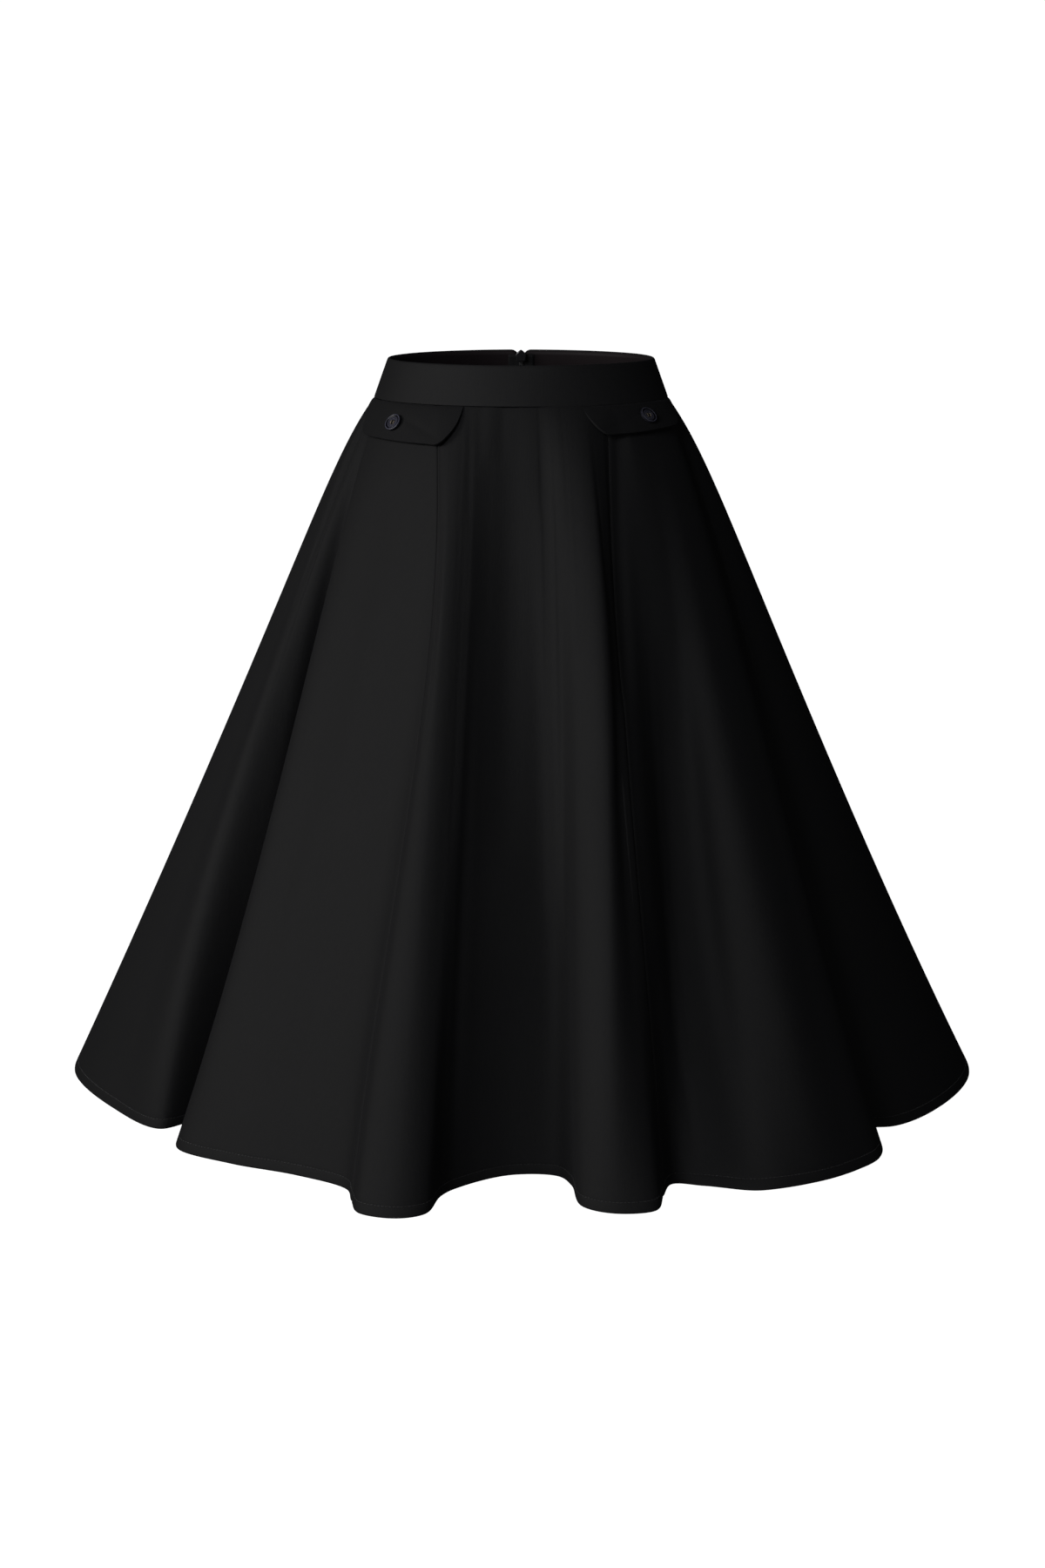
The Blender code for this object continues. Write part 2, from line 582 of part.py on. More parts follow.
def build():
    clear_scene()
    group = collection("flared_midi_skirt")
    cutters = collection("cutters")
    cloth = material("black woven cloth", (0.012, 0.012, 0.013), 0.8)
    band_cloth = material("black waistband cloth", (0.012, 0.012, 0.013), 0.8)
    tape_cloth = material("black zip tape", (0.015, 0.015, 0.016), 0.85)
    plastic = material("dark button plastic", (0.022, 0.024, 0.032), 0.35)
    metal = material("black painted metal", (0.02, 0.02, 0.022), 0.4, 0.6)
    for panel in PANELS:
        make_panel(panel, group, cloth)
    make_waistband(group, band_cloth)
    for flap in FLAPS:
        make_flap(flap, group, cloth)
        make_button(flap, group, cutters, plastic)
    make_tape(1, "zip_tape_left", group, tape_cloth)
    make_tape(-1, "zip_tape_right", group, tape_cloth)
    make_slider(group, cutters, metal)
    make_pull_tab(group, cutters, metal)


build()
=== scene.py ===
import json
import math
from collections import namedtuple

import bmesh
import bpy
import numpy as np
from mathutils import Matrix
from mathutils import Vector

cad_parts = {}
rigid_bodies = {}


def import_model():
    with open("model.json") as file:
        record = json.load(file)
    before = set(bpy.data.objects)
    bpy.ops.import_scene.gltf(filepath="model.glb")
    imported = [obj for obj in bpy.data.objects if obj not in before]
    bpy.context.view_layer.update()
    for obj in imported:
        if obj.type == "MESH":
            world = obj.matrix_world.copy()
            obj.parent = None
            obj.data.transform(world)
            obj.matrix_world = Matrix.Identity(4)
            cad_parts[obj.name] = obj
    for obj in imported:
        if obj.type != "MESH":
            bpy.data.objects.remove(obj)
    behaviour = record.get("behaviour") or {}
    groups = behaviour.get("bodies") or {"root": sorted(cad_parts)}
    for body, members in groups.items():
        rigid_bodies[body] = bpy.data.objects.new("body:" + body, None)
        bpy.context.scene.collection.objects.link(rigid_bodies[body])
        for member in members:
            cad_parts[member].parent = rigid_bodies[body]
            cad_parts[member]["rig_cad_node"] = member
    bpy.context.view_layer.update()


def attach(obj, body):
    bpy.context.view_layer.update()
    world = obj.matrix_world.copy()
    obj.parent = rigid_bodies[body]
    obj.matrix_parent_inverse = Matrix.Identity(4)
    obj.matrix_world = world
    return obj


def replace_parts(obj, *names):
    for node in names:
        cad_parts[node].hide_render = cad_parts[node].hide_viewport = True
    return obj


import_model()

BODY = "skirt"
NODES = {thing["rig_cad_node"]: thing for thing in bpy.data.objects if "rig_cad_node" in thing}

# -------------------- sizes, in metres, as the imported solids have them
WAIST_HALF_WIDTH = 0.122
WAIST_HALF_DEPTH = 0.092
SEAM_HALF_WIDTH = 0.135
SEAM_HALF_DEPTH = 0.102
SEAM_Z = -0.0355
HEM_Z = -0.660
HIP_FULLNESS = 0.046
HIP_LENGTH = 0.07
HIP_EASE = 1.6
CRISPNESS = 2.2
SKIRT_LENGTH = SEAM_Z - HEM_Z
CLOTH = 0.002
BAND_WALL = 0.003
GAP = 0.0003
ZIP_PARTING = 0.0010
BAND_CORNER = 0.0115
FLAP_CORNER = 0.026
FLAP_OUTER_CORNER = 0.012
FLAP_SWEEP = 1.6
BUTTON_DIAMETER = 0.0165
BUTTON_HOLE = 0.0018
BUTTON_HOLE_PITCH = 0.0032
TAPE_WIDTH = 0.011
TAPE_LENGTH = 0.17
TAPE_TOP = 0.0045
TURN_LENGTH = 0.018

# Steps of the fine lines that lengths are measured on
FINE_STEPS = 2400
# Brings the highest value of down * (1 - down)**2 to 1
TO_ONE = 27 / 4

# Finer sizes, for this script alone
SHEET = 0.0007
SEAM_ALLOWANCE = 0.010
HEM_TURN = 0.0080
COLUMN_PITCH = 0.0052
ROW_PITCH = 0.0085
FIRST_ROW = 0.004
LAST_ROW = 0.0165
ROW_SPREAD = 1.25
BAND_WAVE = 0.0003
BAND_RADIUS = 0.117
STITCH = 0.0032
STITCH_BEAD = STITCH * 0.82
STITCH_SINK = 0.00022
STITCH_INSET = 0.0012
THREAD = 0.00030

# -------------------- the folds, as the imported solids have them
Fold = namedtuple("Fold", "name azimuth reach band bow belly")
FOLDS = (
    Fold("side seam right", -90.0, 0.412, -90.0, 0.000, 0.004),
    Fold("right lobe crest", -79.0, 0.428, -86.5, 0.000, 0.003),
    Fold("right lobe front", -64.0, 0.412, -83.0, 0.000, 0.005),
    Fold("right lobe turn", -53.6, 0.396, -80.0, -0.004, 0.016),
    Fold("right side valley", -54.0, 0.350, -76.5, 0.003, -0.022),
    Fold("right side edge in", -50.4, 0.387, -73.0, 0.002, -0.012),
    Fold("right side edge", -46.6, 0.411, -69.5, -0.001, 0.000),
    Fold("right panel crest", -38.0, 0.403, -59.0, 0.002, 0.000),
    Fold("right panel trough", -29.0, 0.393, -47.0, 0.004, 0.000),
    Fold("right roll foot", -21.4, 0.402, -36.5, 0.016, 0.000),
    Fold("princess seam right", -19.3, 0.425, -33.7, 0.018, 0.000),
    Fold("right roll shoulder", -17.4, 0.446, -31.5, 0.014, 0.000),
    Fold("right roll crest", -13.2, 0.449, -27.0, 0.006, 0.000),
    Fold("right roll inner", -10.3, 0.435, -22.0, 0.004, 0.000),
    Fold("right roll inner foot", -9.5, 0.394, -16.5, 0.002, 0.010),
    Fold("centre valley slope", -6.4, 0.364, -10.0, 0.000, 0.008),
    Fold("centre valley", -1.0, 0.343, -2.0, 0.002, 0.004),
    Fold("centre valley edge", 5.0, 0.347, 6.0, 0.003, -0.005),
    Fold("left roll inner foot", 6.5, 0.369, 10.0, 0.004, -0.011),
    Fold("left roll inner", 6.9, 0.415, 15.0, 0.006, -0.002),
    Fold("left roll crest", 10.2, 0.434, 22.0, 0.010, 0.004),
    Fold("left roll shoulder", 14.8, 0.435, 28.0, 0.000, -0.006),
    Fold("princess seam left", 16.9, 0.408, 35.0, -0.006, 0.000),
    Fold("left roll foot", 19.4, 0.385, 38.0, -0.004, 0.000),
    Fold("left panel valley", 22.5, 0.397, 41.0, 0.004, -0.022),
    Fold("left panel rise", 28.0, 0.426, 50.0, 0.004, -0.024),
    Fold("left panel crest", 35.0, 0.437, 58.0, 0.004, 0.002),
    Fold("left panel side", 41.0, 0.438, 65.0, 0.008, 0.000),
    Fold("left side edge", 45.6, 0.433, 71.0, 0.005, 0.000),
    Fold("left side edge in", 49.4, 0.412, 74.5, 0.005, 0.000),
    Fold("left side valley", 50.4, 0.364, 77.5, 0.006, 0.000),
    Fold("left lobe turn", 55.5, 0.402, 80.5, 0.000, 0.000),
    Fold("left lobe front", 66.0, 0.421, 83.5, 0.000, 0.000),
    Fold("left lobe crest", 78.5, 0.430, 86.5, 0.000, 0.000),
    Fold("side seam left", 90.0, 0.414, 90.0, 0.000, 0.000),
    Fold("back valley 1", 101.0, 0.364, 97.0, 0.000, 0.000),
    Fold("back crest 1", 114.0, 0.430, 107.0, 0.000, 0.000),
    Fold("back valley 2", 128.0, 0.362, 119.0, 0.000, 0.000),
    Fold("back crest 2", 143.5, 0.436, 133.0, 0.000, 0.000),
    Fold("back valley 3", 157.0, 0.360, 148.0, 0.000, 0.000),
    Fold("back crest 3", 169.0, 0.428, 163.0, 0.000, 0.000),
    Fold("centre back", 180.0, 0.380, 180.0, 0.000, 0.000),
    Fold("back crest 4", 192.0, 0.431, 196.0, 0.000, 0.000),
    Fold("back valley 4", 204.0, 0.357, 211.0, 0.000, 0.000),
    Fold("back crest 5", 218.0, 0.437, 227.0, 0.000, 0.000),
    Fold("back valley 5", 233.0, 0.364, 241.0, 0.000, 0.000),
    Fold("back crest 6", 247.0, 0.431, 253.0, 0.000, 0.000),
    Fold("back valley 6", 260.0, 0.362, 263.0, 0.000, 0.000),
)
ROW_OF = {fold.name: row for row, fold in enumerate(FOLDS)}
ROUND = len(FOLDS)

# cut: width along the top and along the hem, length, and area in square metres, all flat
Panel = namedtuple("Panel", "name first last top hem length area")
PANELS = (
    Panel("front_side_panel_right", "side seam right", "princess seam right", 0.110, 0.606, 0.705, 0.248),
    Panel("front_centre_panel", "princess seam right", "princess seam left", 0.158, 0.412, 0.717, 0.167),
    Panel("front_side_panel_left", "princess seam left", "side seam left", 0.107, 0.636, 0.709, 0.243),
    Panel("back_panel_left", "side seam left", "centre back", 0.187, 0.785, 0.705, 0.291),
    Panel("back_panel_right", "centre back", "side seam right", 0.187, 0.795, 0.706, 0.292),
)

FLAP_ENDS = "inner_top inner_low outer_top outer_low"
Flap = namedtuple("Flap", "name side " + FLAP_ENDS + " drop outer_drop lift curl button_turn button_down")
FLAPS = (
    Flap("right", -1, 22.0, 26.0, 84.0, 70.0, 0.0345, 0.0310, 0.0030, 0.002, 55.5, 0.0195),
    Flap("left", 1, 23.3, 26.6, 84.0, 70.0, 0.0272, 0.0225, 0.0040, 0.001, 55.6, 0.0138),
)


# -------------------- the skirt's surface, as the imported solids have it
def oval(turn, half_width, half_depth):
    """Points of an oval seen from above; turn 0 is at the front and grows towards the wearer's left."""
    return np.stack([half_width * np.sin(turn), -half_depth * np.cos(turn)], -1)


def fold_values(row):
    """Hem point, turn at the seam, bow and belly of a fold row; the rows repeat round the skirt."""
    azimuth = np.radians([fold.azimuth for fold in FOLDS])
    reach = np.array([fold.reach for fold in FOLDS])
    band = np.radians([fold.band for fold in FOLDS])
    bow = np.array([fold.bow for fold in FOLDS])
    belly = np.array([fold.belly for fold in FOLDS])
    row = np.asarray(row)
    turn = row % ROUND
    laps = 2 * math.pi * (row // ROUND)
    x = reach * np.sin(azimuth)
    y = -reach * np.cos(azimuth)
    return np.stack([x[turn], y[turn], band[turn] + laps, bow[turn], belly[turn]], -1)


def hem_threads(place):
    """Centripetal spline through the fold rows; place counts rows and may be fractional."""
    place = np.asarray(place, float)
    row = np.floor(place).astype(int)
    p0, p1, p2, p3 = (fold_values(row + step) for step in (-1, 0, 1, 2))
    k1, k2, k3 = (
        np.linalg.norm(b[..., :2] - a[..., :2], axis=-1, keepdims=True) ** 0.5
        for a, b in ((p0, p1), (p1, p2), (p2, p3))
    )
    k2 = k1 + k2
    k3 = k2 + k3
    k = k1 + (place - row)[..., None] * (k2 - k1)
    a1 = ((k1 - k) * p0 + k * p1) / k1
    a2 = ((k2 - k) * p1 + (k - k1) * p2) / (k2 - k1)
    a3 = ((k3 - k) * p2 + (k - k2) * p3) / (k3 - k2)
    b1 = ((k2 - k) * a1 + k * a2) / k2
    b2 = ((k3 - k) * a2 + (k - k1) * a3) / (k3 - k1)
    return ((k2 - k) * b1 + (k - k1) * b2) / (k2 - k1)


def flare(down):
    """How far the cloth has opened from the seam's oval towards the hem, with fullness over the hip."""
    fullness = HIP_FULLNESS * np.maximum(1 - down, 0.0) ** HIP_EASE * (1 - np.exp(-down / HIP_LENGTH))
    return down + fullness


def soft_hem(place):
    """The hem with its folds softened, which the cloth follows higher up."""
    steps = (-1.0, -0.5, 0.0, 0.5, 1.0)
    return sum(hem_threads(place + step)[..., :2] for step in steps) / len(steps)


def skirt_surface(place, down):
    """Outer surface of the skirt; down is 0 at the waistband seam and 1 at the hem."""
    threads = hem_threads(place)
    share = flare(down)[..., None]
    crisp = np.clip(down, 0.0, 1.0)[..., None] ** CRISPNESS
    hem = threads[..., :2] * crisp + soft_hem(place) * (1 - crisp)
    top = oval(threads[..., 2], SEAM_HALF_WIDTH, SEAM_HALF_DEPTH)
    outward = hem / np.linalg.norm(hem, axis=-1, keepdims=True)
    aside = np.stack([-outward[..., 1], outward[..., 0]], -1)
    bow = (TO_ONE * down * (1 - down) ** 2 * threads[..., 3])[..., None]
    belly = (TO_ONE * down**2 * (1 - down) * threads[..., 4])[..., None]
    plan = top * (1 - share) + hem * share + aside * bow + outward * belly
    height = SEAM_Z + down * (HEM_Z - SEAM_Z)
    return np.concatenate([plan, height[..., None]], -1)


def skirt_frame(place, down):
    """Points of the surface, its outward normal, its direction along the rings, and metres per place."""
    place, down = np.broadcast_arrays(np.asarray(place, float), np.asarray(down, float))
    step = 0.002
    round_it = skirt_surface(place + step, down) - skirt_surface(place - step, down)
    down_it = skirt_surface(place, down + step) - skirt_surface(place, down - step)
    normal = np.cross(down_it, round_it)
    normal /= np.linalg.norm(normal, axis=-1, keepdims=True)
    per_place = np.linalg.norm(round_it, axis=-1, keepdims=True) / (2 * step)
    return skirt_surface(place, down), normal, round_it / (2 * step * per_place), per_place[..., 0]


def waistband(turn, height_share, out=0.0, aside=0.0):
    """Outer surface of the waistband, moved out and aside; height_share is 0 at its top and 1 at its seam."""
    turn, height_share = np.broadcast_arrays(np.asarray(turn, float), np.asarray(height_share, float))
    half_width = WAIST_HALF_WIDTH + height_share * (SEAM_HALF_WIDTH - WAIST_HALF_WIDTH)
    half_depth = WAIST_HALF_DEPTH + height_share * (SEAM_HALF_DEPTH - WAIST_HALF_DEPTH)
    plan = oval(turn, half_width, half_depth)
    normal = np.stack([np.sin(turn) / half_width, -np.cos(turn) / half_depth], -1)
    normal /= np.linalg.norm(normal, axis=-1, keepdims=True)
    along = np.stack([-normal[..., 1], normal[..., 0]], -1)
    points = plan + normal * np.asarray(out, float)[..., None] + along * np.asarray(aside, float)[..., None]
    return np.concatenate([points, (height_share * SEAM_Z)[..., None]], -1)


def place_of_turn(turn):
    """The place on the fold table whose thread starts at this angle round the seam."""
    fine = np.linspace(-2.0, ROUND + 2.0, FINE_STEPS)
    return np.interp(turn, hem_threads(fine)[:, 2], fine)


def even_places(first, last, pitch):
    """Places from first to last along the hem, closer together where the hem turns."""
    fine = np.linspace(first, last, FINE_STEPS)
    steps = np.diff(hem_threads(fine)[:, :2], axis=0)
    heading = np.unwrap(np.arctan2(steps[:, 1], steps[:, 0]))
    turning = np.abs(np.diff(heading, append=heading[-1]))
    travelled = np.concatenate([[0.0], np.cumsum(np.linalg.norm(steps, axis=1) + TURN_LENGTH * turning)])
    columns = round(travelled[-1] / pitch)
    return np.interp(np.linspace(0.0, travelled[-1], columns + 1), travelled, fine)


# -------------------- small creases of the cloth
# start, end:   degrees round the waistband seam of the threads where the crease starts and ends
# top, low:     how far down the skirt it runs, 0 to 1
# half_width:   metres; rise: metres out of the cloth, or into it where negative
CREASE_FADE = 0.7
Crease = namedtuple("Crease", "name start end top low half_width rise")
CREASES = (
    Crease("hollow between the rolls", -4.5, -4.5, -0.02, 0.60, 0.020, -0.0052),
    Crease("bulge over the left roll", 20.0, 22.5, -0.03, 0.50, 0.020, 0.0038),
    Crease("ridge on the left roll", 7.0, 8.0, 0.10, 0.70, 0.012, 0.0040),
    Crease("hollow at the left seam", 37.0, 36.0, -0.04, 0.40, 0.014, -0.0045),
    Crease("hollow along the right roll", -14.5, -14.5, 0.25, 1.05, 0.008, -0.0020),
    Crease("trough beside the left roll", 49.0, 48.5, 0.30, 1.02, 0.020, -0.0090),
    Crease("trough of the right panel", -52.0, -65.0, 0.10, 0.85, 0.022, -0.0030),
    Crease("hollow by the right side", -76.5, -76.5, -0.05, 0.62, 0.015, -0.0080),
    Crease("gather under the band, middle", -16.0, -15.0, -0.03, 0.08, 0.0050, -0.0004),
    Crease("gather ridge under the band", -11.0, -11.0, -0.03, 0.08, 0.0060, 0.0005),
    Crease("gather beside the ridge", -6.5, -7.0, -0.02, 0.08, 0.0048, -0.0004),
    Crease("thin crease under the band", -19.5, -18.5, 0.00, 0.16, 0.0026, -0.0004),
    Crease("ridge on the left panel", 45.0, 44.0, 0.03, 0.55, 0.016, 0.0022),
    Crease("trough on the left panel", 61.0, 59.0, 0.08, 0.80, 0.020, -0.0025),
    Crease("hollow by the left side", 77.0, 77.5, 0.00, 0.55, 0.014, -0.0050),
    Crease("left side gather", 92.0, 93.0, -0.02, 0.16, 0.0060, -0.0012),
    Crease("back left dent", 104.0, 103.0, 0.02, 0.45, 0.015, -0.0030),
    Crease("back left ridge", 127.0, 125.0, 0.05, 0.60, 0.018, 0.0025),
    Crease("back left gather", 139.0, 138.0, -0.02, 0.14, 0.0050, -0.0011),
    Crease("back middle dent", 170.0, 168.0, 0.30, 0.80, 0.018, -0.0025),
    Crease("back right gather", 207.0, 206.0, -0.02, 0.12, 0.0050, -0.0010),
    Crease("back right dent", 219.0, 221.0, 0.02, 0.50, 0.016, -0.0030),
    Crease("back right ridge", 236.0, 238.0, 0.08, 0.65, 0.018, 0.0024),
    Crease("right side gather", 266.0, 265.0, -0.02, 0.15, 0.0055, -0.0012),
)


def crease_rise(place, down, per_place):
    """How far the creases lift the cloth, each fading out towards its two ends."""
    rise = np.zeros_like(place)
    for crease in CREASES:
        start, end = place_of_turn(np.radians([crease.start, crease.end]))
        along = np.clip((down - crease.top) / (crease.low - crease.top), 0, 1)
        middle = start + along * (end - start)
        away = ((place - middle + ROUND / 2) % ROUND - ROUND / 2) * per_place / crease.half_width
        rise += crease.rise * np.exp(-away**2) * (4 * along * (1 - along)) ** CREASE_FADE
    return rise


def cloth_surface(place, down, out=0.0, aside=0.0):
    """Points of the creased cloth, moved out and aside."""
    points, normal, along, pace = skirt_frame(place, down)
    rise = crease_rise(np.broadcast_to(place, pace.shape), np.broadcast_to(down, pace.shape), pace)
    out = rise + np.asarray(out, float)
    return points + normal * out[..., None] + along * np.asarray(aside, float)[..., None]


# -------------------- meshes
def deselect():
    bpy.ops.object.select_all(action="DESELECT")


def pick(*things):
    deselect()
    for thing in things:
        thing.select_set(True)
    bpy.context.view_layer.objects.active = things[0]


def apply_modifiers(piece):
    pick(piece)
    for modifier in list(piece.modifiers):
        bpy.ops.object.modifier_apply(modifier=modifier.name)


def round_edges(piece, width, segments, degrees):
    """Rounds the edges at which two faces turn by more than so many degrees."""
    edge = piece.modifiers.new("edge", "BEVEL")
    edge.width = width
    edge.segments = segments
    edge.limit_method = "ANGLE"
    edge.angle_limit = math.radians(degrees)


def settle(piece):
    """Leaves a finished object at the origin, unturned and unscaled."""
    pick(piece)
    bpy.ops.object.transform_apply(location=True, rotation=True, scale=True)


def name_it(name):
    piece = bpy.context.object
    piece.name = name
    piece.data.name = name
    return piece


def cloth_sheet(name, place, uv, wall, paint, taper=None):
    """A grid laid where place[column, row] says, given its wall inwards."""
    columns, rows = place.shape[:2]
    deselect()
    bpy.ops.mesh.primitive_grid_add(x_subdivisions=columns - 1, y_subdivisions=rows - 1, size=1)
    piece = name_it(name)
    mesh = piece.data
    flat = np.empty(len(mesh.vertices) * 3)
    mesh.vertices.foreach_get("co", flat)
    flat = flat.reshape(-1, 3)
    column = np.round((flat[:, 0] + 0.5) * (columns - 1)).astype(int)
    row = np.round((0.5 - flat[:, 1]) * (rows - 1)).astype(int)
    mesh.vertices.foreach_set("co", place[column, row].ravel())
    corner = np.empty(len(mesh.loops), int)
    mesh.loops.foreach_get("vertex_index", corner)
    layer = mesh.uv_layers[0]
    layer.name = "cut"
    layer.data.foreach_set("uv", uv[column[corner], row[corner]].ravel())
    mesh.update()
    mesh.materials.append(paint)
    solid = piece.modifiers.new("wall", "SOLIDIFY")
    solid.thickness = wall
    solid.offset = -1
    if taper is not None:
        group = piece.vertex_groups.new(name="wall")
        for vertex, share in enumerate(taper[column, row]):
            group.add([vertex], float(share), "REPLACE")
        solid.vertex_group = "wall"
    return piece


def line_of(name, points):
    """A curve through points, which a row of stitches or coil links follows."""
    data = bpy.data.curves.new(name, "CURVE")
    data.dimensions = "3D"
    data.twist_mode = "Z_UP"
    spline = data.splines.new("POLY")
    spline.points.add(len(points) - 1)
    spline.points.foreach_set("co", np.column_stack([points, np.ones(len(points))]).ravel())
    thing = bpy.data.objects.new(name, data)
    bpy.context.collection.objects.link(thing)
    return thing


def repeat_along(unit, line, pitch):
    """Copies a unit that lies along X down a line, and then drops the line."""
    row = unit.modifiers.new("row", "ARRAY")
    row.fit_type = "FIT_CURVE"
    row.curve = line
    row.use_relative_offset = False
    row.use_constant_offset = True
    row.constant_offset_displace = (pitch, 0, 0)
    bend = unit.modifiers.new("bend", "CURVE")
    bend.object = line
    bend.deform_axis = "POS_X"
    apply_modifiers(unit)
    bpy.data.objects.remove(line)


def stitch_row(name, points):
    """A row of stitches, each a short rounded bead of thread."""
    deselect()
    bpy.ops.mesh.primitive_cylinder_add(vertices=6, radius=THREAD, depth=STITCH_BEAD)
    stitch = name_it(name)
    stitch.rotation_euler = (0, math.radians(90), 0)
    stitch.location = (STITCH * 0.5, 0, 0)
    settle(stitch)
    round_edges(stitch, THREAD * 0.7, 1, 70)
    repeat_along(stitch, line_of(name + "_line", points), STITCH)
    stitch.data.materials.append(BLACK_THREAD)
    stitch.data.shade_smooth()
    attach(stitch, BODY)


# -------------------- materials
def colour(code):
    """A linear colour from its sRGB hex code."""
    parts = [int(code[i:i + 2], 16) / 255 for i in (1, 3, 5)]
    return (*(part / 12.92 if part <= 0.04045 else ((part + 0.055) / 1.055) ** 2.4 for part in parts), 1.0)


def plug(tree, node, inputs):
    """Gives a node's inputs their values, or links other nodes' outputs to them."""
    for key, value in inputs.items():
        if isinstance(value, bpy.types.NodeSocket):
            tree.links.new(value, node.inputs[key])
        else:
            node.inputs[key].default_value = value


def add(tree, kind, settings, inputs):
    """Adds a node with its settings and links, and gives its outputs."""
    node = tree.nodes.new(kind)
    for key, value in settings.items():
        setattr(node, key, value)
    plug(tree, node, inputs)
    return node.outputs


def new_material(name):
    """A material, its nodes, its shader, and the coordinates of the object that wears it."""
    made = bpy.data.materials.new(name)
    made.use_nodes = True
    tree = made.node_tree
    where = add(tree, "ShaderNodeTexCoord", {}, {})["Object"]
    return made, tree, tree.nodes["Principled BSDF"], where


COLOURS = {"data_type": "RGBA"}
SINE = {"operation": "SINE"}
TIMES = {"operation": "MULTIPLY"}
TIMES_PLUS = {"operation": "MULTIPLY_ADD"}


def cloth_material(name, dark, light, roughness, yarn, relief, sheen):
    """Woven cloth: yarns over and under each other on the flat cut, with slubs and nap over them."""
    made, tree, shader, where = new_material(name)
    cut = add(tree, "ShaderNodeUVMap", {"uv_map": "cut"}, {})[0]
    across, along, _ = add(tree, "ShaderNodeSeparateXYZ", {}, {0: cut})
    warp_turn = add(tree, "ShaderNodeMath", TIMES, {0: across, 1: math.pi / yarn})[0]
    weft_turn = add(tree, "ShaderNodeMath", TIMES, {0: along, 1: math.pi / yarn})[0]
    warp = add(tree, "ShaderNodeMath", SINE, {0: warp_turn})[0]
    weft = add(tree, "ShaderNodeMath", SINE, {0: weft_turn})[0]
    over = add(tree, "ShaderNodeMath", TIMES, {0: warp, 1: weft})[0]
    weave = add(tree, "ShaderNodeMath", {"operation": "ABSOLUTE"}, {0: over})[0]
    # slubs: uneven yarns, long along the warp
    drawn = add(tree, "ShaderNodeMapping", {}, {0: cut, "Scale": (6.0, 0.5, 1.0)})[0]
    slub = add(tree, "ShaderNodeTexNoise", {}, {"Vector": drawn, "Scale": 1 / 0.006})[0]
    nap_of = {"Vector": where, "Scale": 1 / 0.0009, "Detail": 4.0, "Roughness": 0.7}
    nap = add(tree, "ShaderNodeTexNoise", {}, nap_of)[0]
    patches = add(tree, "ShaderNodeTexNoise", {}, {"Vector": where, "Scale": 1 / 0.045})[0]
    shade = add(tree, "ShaderNodeMath", TIMES, {0: nap, 1: 0.35})[0]
    shade = add(tree, "ShaderNodeMath", TIMES_PLUS, {0: slub, 1: 0.45, 2: shade})[0]
    shade = add(tree, "ShaderNodeMath", TIMES_PLUS, {0: patches, 1: 0.2, 2: shade})[0]
    fine = add(tree, "ShaderNodeMath", TIMES_PLUS, {0: nap, 1: 0.6, 2: weave})[0]
    relief_of = {"Height": fine, "Distance": relief, "Strength": 0.45}
    yarns = add(tree, "ShaderNodeBump", {}, relief_of)[0]
    relief_of = {"Height": slub, "Distance": 0.00025, "Strength": 0.35, "Normal": yarns}
    gloss = {"Value": nap, "To Min": roughness - 0.08, "To Max": roughness + 0.08}
    plug(tree, shader, {
        "Base Color": add(tree, "ShaderNodeMix", COLOURS, {0: shade, 6: colour(dark), 7: colour(light)})[2],
        "Roughness": add(tree, "ShaderNodeMapRange", {}, gloss)[0],
        "Normal": add(tree, "ShaderNodeBump", {}, relief_of)[0],
        "Sheen Weight": sheen,
        "Sheen Roughness": 0.55,
        "Sheen Tint": colour("#b9bbc6"),
        "Specular IOR Level": 0.25,
    })
    return made


def button_material(name, centre):
    """Moulded resin, dark blue-grey, with painted highlights on the raised rings and rim and painted shade,
    nearly black, in the grooves and holes.
    """
    made, tree, shader, where = new_material(name)
    away = add(tree, "ShaderNodeVectorMath", {"operation": "DISTANCE"}, {0: where, 1: centre})["Value"]
    cloud = add(tree, "ShaderNodeTexNoise", {}, {"Vector": where, "Scale": 1 / 0.0022, "Detail": 3.0})[0]
    share = add(tree, "ShaderNodeMath", TIMES, {0: away, 1: 2 / BUTTON_DIAMETER})[0]
    share = add(tree, "ShaderNodeMath", TIMES_PLUS, {0: cloud, 1: 0.05, 2: share})[0]
    # painted highlights and shade: the ramp lightens the raised rings and rim and darkens the grooves and
    # holes, by distance from the middle
    paint = add(tree, "ShaderNodeValToRGB", {}, {0: share})[0]
    stops = paint.node.color_ramp.elements
    stops[0].color = colour(BUTTON_TONES_AND_PAINTED_LIGHT[0].code)
    stops[1].position, stops[1].color = BUTTON_TONES_AND_PAINTED_LIGHT[-1].share, colour(BUTTON_TONES_AND_PAINTED_LIGHT[-1].code)
    for shade in BUTTON_TONES_AND_PAINTED_LIGHT[1:-1]:
        stops.new(shade.share).color = colour(shade.code)
    # fine turning marks
    turning = add(tree, "ShaderNodeMath", TIMES, {0: away, 1: 2 * math.pi / TURNING_PITCH})[0]
    marks = add(tree, "ShaderNodeMath", SINE, {0: turning})[0]
    plug(tree, shader, {
        "Base Color": paint,
        "Roughness": add(tree, "ShaderNodeMapRange", {}, {"Value": cloud, "To Min": 0.26, "To Max": 0.42})[0],
        "Normal": add(tree, "ShaderNodeBump", {}, {"Height": marks, "Distance": 0.00003, "Strength": 0.6})[0],
        "Specular IOR Level": 0.3,
        "Coat Weight": 0.12,
        "Coat Roughness": 0.2,
    })
    return made


